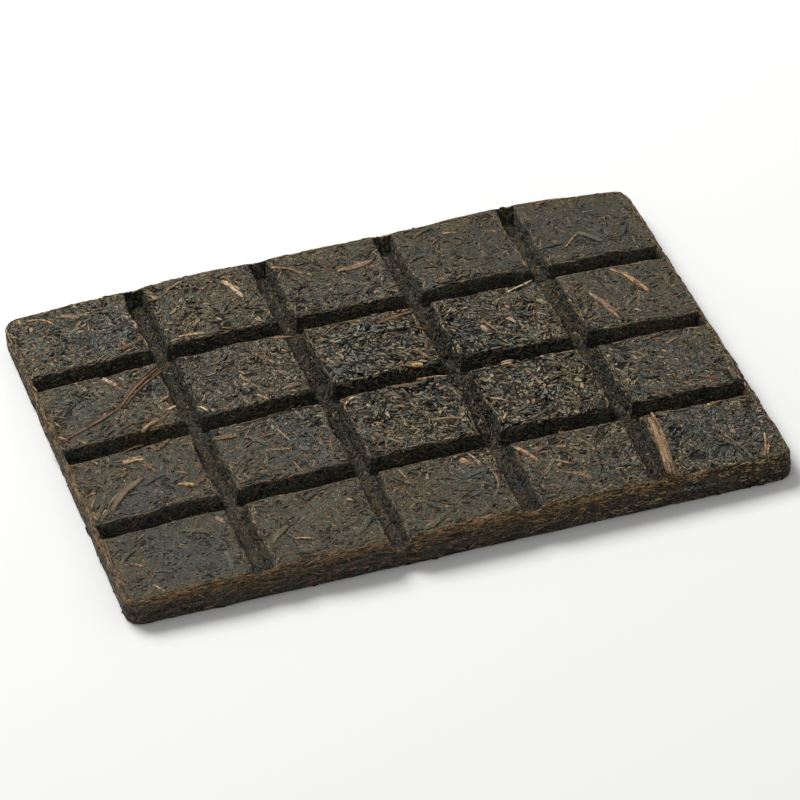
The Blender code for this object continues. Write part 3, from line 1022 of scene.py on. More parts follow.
@dataclass(frozen=True)
class ColourField:
    """How the leaf's warmth and lightness drift over the brick."""

    form: BrickForm
    warm: Colour = (0.13, 0.02, -0.17)
    drift: float = 0.35
    drift_size: float = 11.0 * MM
    light_drift: float = 0.07
    light_size: float = 6.0 * MM
    border: float = 5.0 * MM
    border_heights: Span = (0.6, 0.95)
    border_warmth: float = 1.35
    border_light: float = 0.17
    brow: float = 2.2 * MM
    brow_warmth: float = 0.3
    ridge_offset: float = 0.1
    ridge_width: float = 1.0
    ridge_contrast: float = 0.65
    rough_contrast: float = 0.5
    calm_contrasts: Triple = (0.05, 0.5, 1.0)
    calm_shares: Triple = (0.9, 0.55, 0.3)

    def contrast(self, places: Array) -> Array:
        """How strongly the leaf's grain shows, from 0 to 1.

        Args:
            places: Points on the brick, n by 3.

        Returns:
            A number for each point: more along a diagonal ridge and on the roughest blocks.
        """
        form = self.form
        off_ridge = 2 * places[:, 0] / form.length + 2 * places[:, 1] / form.width
        ridge = np.exp(-(((off_ridge - self.ridge_offset) / self.ridge_width) ** 2))
        rough = form.rough_share(places[:, 0], places[:, 1])
        return np.clip(self.ridge_contrast * ridge + self.rough_contrast * rough, 0.0, 1.0)

    def calm(self, contrast: Array) -> Array:
        """How close a shred's tint keeps to its palette's middle, n by 1."""
        return np.interp(contrast, self.calm_contrasts, self.calm_shares)[:, None]

    def gains(self, places: Array) -> Array:
        """What the leaf's red, green and blue are multiplied by.

        Args:
            places: Points on the brick, n by 3.

        Returns:
            A gain for each colour at each point.
        """
        x, y = places[:, 0], places[:, 1]
        warmth = self.drift * sized_noise(x, y, self.drift_size, Noise.WARMTH)
        light = self.light_drift * sized_noise(x, y, self.light_size, Noise.LIGHT)
        for zone in ZONES:
            apart = np.hypot(x / MM - zone.centre[0], y / MM - zone.centre[1]) / zone.radius
            near = np.exp(-(apart**3))
            warmth = warmth + zone.warmth * near
            light = light + zone.light * near
        form = self.form
        near_border = np.clip(1 - form.inside(x, y) / self.border, 0.0, 1.0)
        near_border = near_border * np.interp(places[:, 2] / form.edge_thickness, self.border_heights, UNIT)
        to_groove = np.minimum(form.along_x.from_groove(x), form.along_y.from_groove(y))
        near_groove = np.clip(1 - np.maximum(to_groove, 0.0) / self.brow, 0.0, 1.0)
        warmth = warmth + self.border_warmth * near_border + self.brow_warmth * near_groove
        light = light + self.border_light * near_border
        return (1 + warmth[:, None] * np.array(self.warm)) * (1 + light[:, None])


@dataclass(frozen=True)
class Tint:
    """One colour of leaf, and how common it is."""

    colour: Colour
    share: float


@dataclass(frozen=True)
class Palette:
    """Colours that the shreds of one kind are drawn from."""

    tints: tuple[Tint, ...]
    unevenness: float = 0.3

    @property
    def colours(self) -> Array:
        """The palette's colours, in rows."""
        return np.array([tint.colour for tint in self.tints])

    @property
    def shares(self) -> Array:
        """How common each colour is."""
        return np.array([tint.share for tint in self.tints])

    def middle(self) -> Array:
        """The palette's colours in their shares, averaged by how light they look."""
        return np.exp((np.log(self.colours) * self.shares[:, None]).sum(axis=0) / self.shares.sum())

    def pick(self, count: int, draw: Draw) -> Array:
        """Draws a colour for each of a number of shreds."""
        chosen = draw.choice(len(self.tints), size=count, p=self.shares / self.shares.sum())
        return self.colours[chosen] * np.exp(draw.normal(0.0, self.unevenness, count))[:, None]


@dataclass(frozen=True)
class Looks:
    """Colours of a number of shreds: their own, their zone's, and how strongly their grain shows."""

    tints: Array
    zones: Array
    contrast: Array

    @classmethod
    def draw_for(cls, palette: Palette, places: Array, colours: ColourField, draw: Draw) -> "Looks":
        """Draws the looks of shreds that start at the places.

        Args:
            palette: The colours that they are drawn from.
            places: Where the shreds start, n by 3.
            colours: How the colours drift over the brick.
            draw: Source of random numbers.

        Returns:
            The looks, one row for each shred.
        """
        contrast = colours.contrast(places)
        tints = palette.pick(len(places), draw)
        calm = colours.calm(contrast)
        tints = tints ** (1 - calm) * palette.middle() ** calm
        return cls(tints, colours.gains(places), contrast)


@dataclass(frozen=True)
class Cut:
    """Size, lie and colours of one kind of shred.

    Rough values are what the roughest blocks add, and thinning is the share of shreds left
    out there or, calm, on the smooth ones. Curl is in radians a metre, and most_turn is the
    cosine of the angle at which the surface has turned away from under a shred.
    """

    length: Span
    width: Span
    coverage: float
    palette: Palette
    lift: Span = (0.0, 0.10 * MM)
    rough_lift: float = 0.25 * MM
    roll: float = 0.06
    rough_roll: float = 0.14
    rough_width: float = 0.0
    sink: float = 0.35 * MM
    spread: float = math.pi
    curl: float = 40.0
    shelf: float = 0.78
    sections: int = 3
    most_turn: float = 0.88
    thinning: float = 0.0
    calm_thinning: float = 0.0
    fill: float = 0.85

    @property
    def usual_area(self) -> float:
        """Area that a shred of middling size covers."""
        return sum(self.length) / 2 * sum(self.width) / 2 * self.fill


@dataclass(frozen=True)
class Bed:
    """Where shreds of one cut lie."""

    regions: tuple[Region, ...]
    cut: Cut


@dataclass
class Guide:
    """The surface that the shreds are laid on."""

    form: BrickForm
    step: float = 1.6 * MM
    stride_count: int = 6
    swirl: float = 15.0 * MM
    shell: Shell = field(init=False)
    tree: BVHTree = field(init=False)

    def __post_init__(self) -> None:
        """Makes the surface and the tree that finds places on it."""
        self.shell = self.form.shell(self.step)
        self.tree = BVHTree.FromPolygons(self.shell.points.tolist(), self.shell.quads.tolist())

    def starts(self, bed: Bed, draw: Draw) -> tuple[Array, Array, Array]:
        """Draws the places where a bed's shreds start.

        Args:
            bed: The bed.
            draw: Source of random numbers.

        Returns:
            Each start's place, the direction in which its leaf runs, and its normal.
        """
        wanted = [region.value for region in bed.regions]
        faces = np.flatnonzero(np.isin(self.shell.regions, wanted))
        facing = self.shell.face_normals()[faces]
        areas = np.linalg.norm(facing, axis=-1) / 2
        count = int(bed.cut.coverage * areas.sum() / bed.cut.usual_area)
        chosen = draw.choice(len(faces), size=count, p=areas / areas.sum())
        corners = self.shell.points[self.shell.quads[faces[chosen]]]
        share_u = draw.random((count, 1))
        share_v = draw.random((count, 1))
        near = corners[:, 0] * (1 - share_u) + corners[:, 1] * share_u
        far = corners[:, 3] * (1 - share_u) + corners[:, 2] * share_u
        return near * (1 - share_v) + far * share_v, self.shell.grain[faces[chosen]], unit(facing[chosen])

    def headings(self, starts: Array, grain: Array, normals: Array, spread: float, draw: Draw) -> Array:
        """Directions in which shreds set out, in the plane of the surface.

        Args:
            starts: Where they start.
            grain: Which way the leaf runs there; zero where any direction will do.
            normals: Normals of the surface there.
            spread: Most angle from the leaf's run.
            draw: Source of random numbers.

        Returns:
            A unit direction for each start.
        """
        swirl = 2 * math.pi * sized_noise(starts[:, 0], starts[:, 1], self.swirl, Noise.SWIRL)
        swirling = np.column_stack((np.cos(swirl), np.sin(swirl), np.zeros(len(starts))))
        free = np.abs(grain).sum(axis=-1, keepdims=True) < 0.5
        base = np.where(free, swirling, grain)
        base = unit(base - normals * (base * normals).sum(axis=-1, keepdims=True))
        angle = (draw.random(len(starts)) * 2 - 1)[:, None] * spread
        return base * np.cos(angle) + np.cross(normals, base) * np.sin(angle)

    def trace(
        self, starts: Array, headings: Array, lengths: Array, curls: Array, most_turn: float
    ) -> tuple[Array, Array, Array]:
        """Walks over the surface from each start.

        Args:
            starts: Where the walks start.
            headings: Their first directions.
            lengths: How far they go.
            curls: How much they turn, in radians a metre.
            most_turn: Cosine of the angle at which the surface has turned away.

        Returns:
            The places and normals met on each walk, and how many strides it took before the
            surface turned away.
        """
        count = len(starts)
        places = np.zeros((count, self.stride_count + 1, 3))
        normals = np.zeros((count, self.stride_count + 1, 3))
        reached = np.zeros(count)
        find = self.tree.find_nearest
        strides = lengths / self.stride_count
        turns = curls * strides
        for number in range(count):
            spot, normal, _, _ = find(Vector(starts[number]))
            first = normal
            heading = Vector(headings[number])
            stride = strides[number]
            swing = math.tan(turns[number])
            places[number, :] = spot
            normals[number, :] = normal
            for taken in range(1, self.stride_count + 1):
                heading = (heading + normal.cross(heading) * swing).normalized()
                spot, normal, _, _ = find(spot + heading * stride)
                if normal.dot(first) < most_turn:
                    break
                heading = (heading - normal * heading.dot(normal)).normalized()
                places[number, taken:] = spot
                normals[number, taken:] = normal
                reached[number] = taken
        return places, normals, reached


@dataclass(frozen=True)
class Paths:
    """Middle lines of shreds: places and normals of the same number of sections each."""

    places: Array
    normals: Array

    @classmethod
    def through(cls, places: Array, normals: Array, spots: Array) -> "Paths":
        """Makes paths from points that lie between those of other lines.

        Args:
            places: Places on the other lines.
            normals: Normals there.
            spots: Numbers of the wanted points along those lines, with fractions.

        Returns:
            The paths, with one section for each wanted point.
        """
        low = np.minimum(spots.astype(int), places.shape[1] - 2)
        share = (spots - low)[..., None]
        rows = np.arange(len(places))[:, None]
        mixed = places[rows, low] * (1 - share) + places[rows, low + 1] * share
        facing = normals[rows, low] * (1 - share) + normals[rows, low + 1] * share
        return cls(mixed, unit(facing))

    def tangents(self) -> Array:
        """Unit direction along each path at each section."""
        return unit(np.gradient(self.places, axis=1))

    def sides(self) -> Array:
        """Unit direction across each path at each section."""
        return unit(np.cross(self.normals, self.tangents()))


@dataclass
class Lids:
    """Thin closed shreds that lie over the surface, with their edges sunk into it.

    The lists hold what has been added so far: points, the four-sided and three-sided faces,
    and the vectors that the points carry. Size is the number of points.
    """

    points: list[Array] = field(default_factory=list)
    quads: list[Array] = field(default_factory=list)
    ends: list[Array] = field(default_factory=list)
    carried: dict[str, list[Array]] = field(
        default_factory=lambda: {label: [] for label in ("tint", "zone", "strand", "lane")}
    )
    size: int = 0
    most_shift: float = 500.0

    def add(
        self,
        paths: Paths,
        widths: Array,
        heights: Array,
        shelves: Array,
        sinks: Array,
        tip: Array,
        looks: Looks,
        draw: Draw,
    ) -> None:
        """Adds one shred for each path.

        Args:
            paths: Middle lines, in n rows of s sections.
            widths: Half widths, n by s.
            heights: Heights over the surface, n by s by the number of shelf places.
            shelves: Places across the shred, from -1 to 1, where its top is flat.
            sinks: How far each shred's edges are sunk, n.
            tip: How far each shred's pointed ends reach beyond its last sections, n.
            looks: Their colours.
            draw: Source of random numbers.
        """
        count, sections, _ = paths.places.shape
        across = np.concatenate(((-1.0,), shelves, (1.0,)))
        sunk = np.broadcast_to(-sinks[:, None, None], (count, sections, 1))
        height = np.concatenate((sunk, heights, sunk), axis=2)
        tangents = paths.tangents()
        sides = paths.sides()
        rows = (
            paths.places[:, :, None]
            + sides[:, :, None] * (across * widths[..., None])[..., None]
            + paths.normals[:, :, None] * height[..., None]
        )
        begin, end = (
            paths.places[:, at] + way * tangents[:, at] * tip[:, None] - paths.normals[:, at] * sinks[:, None]
            for at, way in ((0, -1), (-1, 1))
        )
        ends = np.stack((begin, end), axis=1)
        points = np.concatenate((rows.reshape(count, -1, 3), ends), axis=1)
        lanes = len(across)
        each = points.shape[1]
        cell = np.arange(sections * lanes).reshape(sections, lanes)
        corners = (cell[:-1, :-1], cell[1:, :-1], cell[1:, 1:], cell[:-1, 1:])
        quads = np.stack(corners, axis=-1).reshape(-1, 4)
        first = np.stack((cell[0, :-1], cell[0, 1:], np.full(lanes - 1, each - 2)), axis=-1)
        last = np.stack((cell[-1, 1:], cell[-1, :-1], np.full(lanes - 1, each - 1)), axis=-1)
        offsets = self.size + each * np.arange(count)[:, None, None]
        self.points.append(points.reshape(-1, 3))
        self.quads.append((quads + offsets).reshape(-1, 4))
        self.ends.append((np.concatenate((first, last)) + offsets).reshape(-1, 3))
        self.carried["tint"].append(np.repeat(looks.tints, each, axis=0))
        self.carried["zone"].append(np.repeat(looks.zones, each, axis=0))
        steps = np.linalg.norm(np.diff(paths.places, axis=1), axis=-1)
        travelled = np.concatenate((np.zeros((count, 1)), steps.cumsum(axis=1)), axis=1) / MM
        inner = sections * lanes
        strand = np.zeros((count, each, 3))
        strand[:, :inner, 0] = np.repeat(travelled, lanes, axis=1)
        strand[:, :inner, 1] = (widths[..., None] * across).reshape(count, -1) / MM
        strand[:, -2, 0] = -tip / MM
        strand[:, -1, 0] = travelled[:, -1] + tip / MM
        shift = draw.uniform(0.0, self.most_shift, (count, 1))
        strand[:, :, 0] += shift
        strand[:, :, 2] = shift
        self.carried["strand"].append(strand.reshape(-1, 3))
        lane = np.zeros((count, each, 3))
        lane[:, :inner, 0] = np.tile(across, sections)
        lane[:, :, 1] = looks.contrast[:, None]
        self.carried["lane"].append(lane.reshape(-1, 3))
        self.size += count * each

    def piece(self, name: str, smooth: bool) -> bpy.types.Object:
        """Makes one object of all shreds added.

        Args:
            name: The object's name.
            smooth: Whether its faces are shaded smooth.

        Returns:
            The object.
        """
        faces = [np.concatenate(self.quads), np.concatenate(self.ends)]
        vectors = {label: np.concatenate(values) for label, values in self.carried.items()}
        return make_object(name, np.concatenate(self.points), faces, smooth, vectors)


@dataclass(frozen=True)
class ShadowAndHighlightSlivers:
    """Slivers that hug the edges of shreds: black ones paint shadow in the gaps between them, lighter ones
    paint a highlight on their rims.

    Share and smooth_share are how many shreds get one where the grain shows fully and not
    at all. Near_side is how many of them lie on the side toward -Y, away from the key light,
    where the black ones stand for shadow. Begin, reach and taper say which part of the shred a
    sliver follows, and tip is in millimetres.
    """

    share: float = 1.0
    smooth_share: float = 0.05
    width: Span = (0.25 * MM, 0.5 * MM)
    rough_width: float = 0.4 * MM
    near_side: float = 0.7
    proud: float = 0.03 * MM
    rough_proud: float = 0.08 * MM
    sink: float = 0.2 * MM
    begin: Span = (0.0, 0.35)
    reach: Span = (0.4, 0.8)
    taper: Triple = (0.7, 1.0, 0.6)
    tip: Span = (0.2, 0.7)
    palette: Palette = field(default_factory=lambda: SHADOW_SLIVERS)

    def hug(self, paths: Paths, widths: Array, lifts: Array, looks: Looks, lids: Lids, draw: Draw) -> None:
        """Lays slivers along the edges of some of the shreds: painted shadow in black, painted highlight in
        the lighter palette.

        Args:
            paths: The shreds' middle lines.
            widths: Their half widths at each section.
            lifts: Their heights at each section.
            looks: Their colours; the more their grain shows, the more of them get a sliver.
            lids: Takes the slivers.
            draw: Source of random numbers.
        """
        shares = self.smooth_share + (self.share - self.smooth_share) * looks.contrast
        chosen = draw.random(len(paths.places)) < shares
        places, normals = paths.places[chosen], paths.normals[chosen]
        count, sections, _ = places.shape
        sides = paths.sides()[chosen]
        rough = looks.contrast[chosen, None]
        half = draw.uniform(*self.width, (count, 1))
        half = (half + draw.random((count, 1)) * rough * self.rough_width) / 2
        # A near_side share of the slivers goes to the side toward -Y, away from the key light, the rest
        # toward it: black ones placed as painted shadow, lighter ones as painted highlight.
        toward = np.where(sides[:, :1, 1] > 0, -1.0, 1.0)
        toward = toward * np.where(draw.random((count, 1)) < self.near_side, 1.0, -1.0)
        edge = places + sides * ((widths[chosen] + half * 0.5) * toward)[..., None]
        begin = draw.uniform(*self.begin, count)
        end = np.minimum(begin + draw.uniform(*self.reach, count), 1.0)
        steps = np.linspace(0.0, 1.0, len(self.taper))
        spots = (begin[:, None] + (end - begin)[:, None] * steps) * (sections - 1)
        line = Paths.through(edge, normals, spots)
        height = lifts[chosen].mean(axis=1)[:, None, None] + self.proud
        height = np.repeat(height + rough[:, :, None] * self.rough_proud, len(self.taper), axis=1)
        tints = Looks(self.palette.pick(count, draw), looks.zones[chosen], np.zeros(count))
        tip = draw.uniform(*self.tip, count) * MM
        lids.add(line, half * self.taper, height, np.zeros(1), np.full(count, self.sink), tip, tints, draw)


@dataclass(frozen=True)
class ShredLayer:
    """Shreds of several cuts that make one piece."""

    name: str
    beds: tuple[Bed, ...]
    finish: LeafFinish
    slot: str = "pressed_leaf"
    seed: int = 0
    smooth: bool = True
    painted_light_slivers: tuple[ShadowAndHighlightSlivers, ...] = ()
    least_strides: int = 2
    rough_power: float = 1.5
    taper: Span = (0.6, 0.4)
    taper_run: Span = (0.08, 0.84)
    width_jitter: Span = (0.8, 1.2)
    calm_lift: float = 0.25
    lift_rise: float = 1.8
    calm_roll: float = 0.25
    twist: float = 0.05
    crest: Span = (0.75, 0.35)
    unevenness: float = 0.02 * MM
    rough_sink: float = 0.15 * MM
    tip: Span = (0.2, 1.4)

    def walk(self, bed: Bed, guide: Guide, draw: Draw) -> Paths:
        """Draws where the shreds of one bed lie.

        Args:
            bed: The bed.
            guide: The surface that they lie on.
            draw: Source of random numbers.

        Returns:
            Their middle lines, in even sections over the part of each walk that was taken.
        """
        cut = bed.cut
        starts, grain, normals = guide.starts(bed, draw)
        contrast = ColourField(guide.form).contrast(starts)
        left = draw.random(len(starts)) >= cut.thinning * contrast + cut.calm_thinning * (1 - contrast)
        starts, grain, normals = starts[left], grain[left], normals[left]
        headings = guide.headings(starts, grain, normals, cut.spread, draw)
        lengths = draw.uniform(*cut.length, len(starts))
        curls = draw.normal(0.0, cut.curl, len(starts))
        places, normals, reached = guide.trace(starts, headings, lengths, curls, cut.most_turn)
        kept = reached >= self.least_strides
        spots = reached[kept, None] * np.linspace(0.0, 1.0, cut.sections)
        return Paths.through(places[kept], normals[kept], spots)

    def lay(self, bed: Bed, guide: Guide, lids: Lids, cracks: Lids, draw: Draw) -> None:
        """Lays the shreds of one bed.

        Args:
            bed: The bed.
            guide: The surface that they lie on.
            lids: Takes the shreds.
            cracks: Takes the slivers along their edges: black painted shadow and lighter painted highlight.
            draw: Source of random numbers.
        """
        cut = bed.cut
        paths = self.walk(bed, guide, draw)
        begins = paths.places[:, 0]
        colours = ColourField(guide.form)
        count = len(paths.places)
        rough = colours.contrast(begins) ** self.rough_power
        share = np.linspace(0.0, 1.0, cut.sections)
        taper = arch(self.taper_run[0] + self.taper_run[1] * share, *self.taper)
        widths = draw.uniform(*cut.width, (count, 1)) / 2 * taper * (1 + cut.rough_width * rough[:, None])
        widths = widths * draw.uniform(*self.width_jitter, (count, cut.sections))
        lifts = draw.uniform(*cut.lift, count) * np.minimum(self.calm_lift + self.lift_rise * rough, 1.0)
        lifts = lifts + rough * draw.random(count) * cut.rough_lift
        roll = cut.roll * (self.calm_roll + rough) + rough * cut.rough_roll
        roll = draw.normal(0.0, 1.0, count) * roll
        twist = draw.normal(0.0, self.twist, (count, 1)) * (share * 2 - 1)
        shelves = np.array((-cut.shelf, cut.shelf))
        along = lifts[:, None] * arch(share, *self.crest)
        along = along + draw.normal(0.0, self.unevenness, (count, cut.sections))
        heights = along[..., None] + (roll[:, None] + twist)[..., None] * shelves * widths[..., None]
        sinks = cut.sink + rough * self.rough_sink
        tip = widths[:, 0] * draw.uniform(*self.tip, count)
        looks = Looks.draw_for(cut.palette, begins, colours, draw)
        lids.add(paths, widths, heights, shelves, sinks, tip, looks, draw)
        for outline in self.painted_light_slivers:
            outline.hug(paths, widths, along, looks, cracks, draw)

    def build(self, guide: Guide, cracks: Lids) -> bpy.types.Object:
        """Makes the layer's piece.

        Args:
            guide: The surface that the shreds lie on.
            cracks: Takes the slivers along their edges: black painted shadow and lighter painted highlight.

        Returns:
            The piece.
        """
        draw = np.random.default_rng(SEED + self.seed)
        lids = Lids()
        for bed in self.beds:
            self.lay(bed, guide, lids, cracks, draw)
        piece = lids.piece(self.name, self.smooth)
        hand_over(piece, self.finish.build())
        return piece


class Strip(NamedTuple):
    """A stem, splinter or flake on the blocks' tops, in metres."""

    start: Vector
    end: Vector
    width: float
    proud: float
    bow: float


@dataclass(frozen=True)
class Stem:
    """A stem or large flake, listed in millimetres from the brick's centre."""

    tone: Tone
    start: Point
    end: Point
    width: float
    proud: float = 0.3
    bow: float = 0.0
    gain: float = 1.0

    def strip(self) -> Strip:
        """The stem's sizes in metres."""
        ends = Vector(self.start) * MM, Vector(self.end) * MM
        return Strip(*ends, self.width * MM, self.proud * MM, self.bow * MM)


PALE, GOLD, TAN, DRAB, REDDISH, BROWN, OLIVE, DARK = Tone

# These stand in the solid too, in this order.
SOLID_STEMS = (
    Stem(TAN, (66.4, -47.5), (63.6, -75), 4, 1, 0.4, 0.72),
    Stem(PALE, (-32, 71.5), (-28.4, 60), 2.2, 0.8, 0.3),
    Stem(DRAB, (-50, 73), (-41.5, 77.6), 1.3, 0.5, 0, 1.2),
    Stem(TAN, (-16, 73), (-7.5, 65), 1.7, 0.6, 1.3, 0.8),
    Stem(DRAB, (3, 63.6), (14, 65.4), 2.8, 0.5, -0.8, 0.85),
    Stem(GOLD, (-93, 75.4), (-85.6, 69.8), 1, 0.5, 1.4),
    Stem(TAN, (-82.5, 73.2), (-77.6, 69.8), 2.2, 0.6, 0),
    Stem(BROWN, (-70, 47.2), (-63, 50.2), 1.9, 0.4, 0),
    Stem(TAN, (-52, 46.7), (-44.5, 45.6), 1.6, 0.5, 0, 1.1),
    Stem(TAN, (78.6, 58.2), (72, 51), 1, 0.5, 0),
    Stem(REDDISH, (-62.6, 32.6), (-78, 16.8), 1.3, 0.6, -0.8),
    Stem(REDDISH, (-78.6, 16.6), (-96.5, 8.2), 1.2, 0.5, 0.5),
    Stem(PALE, (-79.2, 34), (-75.6, 26), 1.5, 0.6, 0.4, 1.3),
    Stem(TAN, (-74.4, 3.2), (-68.8, 6.8), 1.7, 0.6, 0),
    Stem(DRAB, (-30.5, 6.6), (-23, 7.2), 2, 0.5, 0.3),
    Stem(BROWN, (-10.5, 30.5), (0.5, 34.4), 1.1, 0.7, 1.2),
    Stem(BROWN, (5, 30), (17, 32.6), 2.1, 0.6, 0),
    Stem(TAN, (11, 13.4), (14.8, 5.6), 1.7, 0.7, 0.3),
    Stem(DARK, (7, 24.4), (14.6, 16.4), 1.3, 0.6, 0),
    Stem(PALE, (48, 32.6), (56.2, 36), 1.3, 0.8, -0.4, 1.25),
    Stem(REDDISH, (34.2, 27), (40, 9.2), 1.2, 0.6, -0.5, 2),
    Stem(DRAB, (70.6, 23), (75, 6.4), 1.8, 0.8, 0.2, 1.3),
    Stem(TAN, (83.4, 31), (88, 18), 2.1, 0.7, 0.4),
    Stem(TAN, (-83.6, -10.8), (-78, -11.6), 3, 0.7, 0, 1.8),
    Stem(OLIVE, (-92.6, -32.6), (-80.4, -20.6), 3, 0.4, 1.2, 1.25),
    Stem(GOLD, (-71.6, -28.2), (-66.6, -31), 1.4, 0.7, 0),
    Stem(PALE, (-15.4, -9), (-10.6, -6.2), 1.2, 0.7, 0.6, 2.2),
    Stem(TAN, (7, -26), (15, -28.2), 1.3, 0.6, 0),
    Stem(REDDISH, (87, -31), (92.4, -36), 1.3, 0.5, 0.4),
    Stem(TAN, (-47.2, -67.8), (-41.8, -70.4), 1.2, 0.6, 0, 0.95),
    Stem(TAN, (8.4, -48), (9.6, -52), 2.6, 0.6, 0, 1.15),
    Stem(TAN, (25.2, -49), (29.2, -57.4), 1.6, 0.6, 0.4),
    Stem(TAN, (95.4, -66), (91.6, -77.4), 1.2, 0.8, 0.3),
)

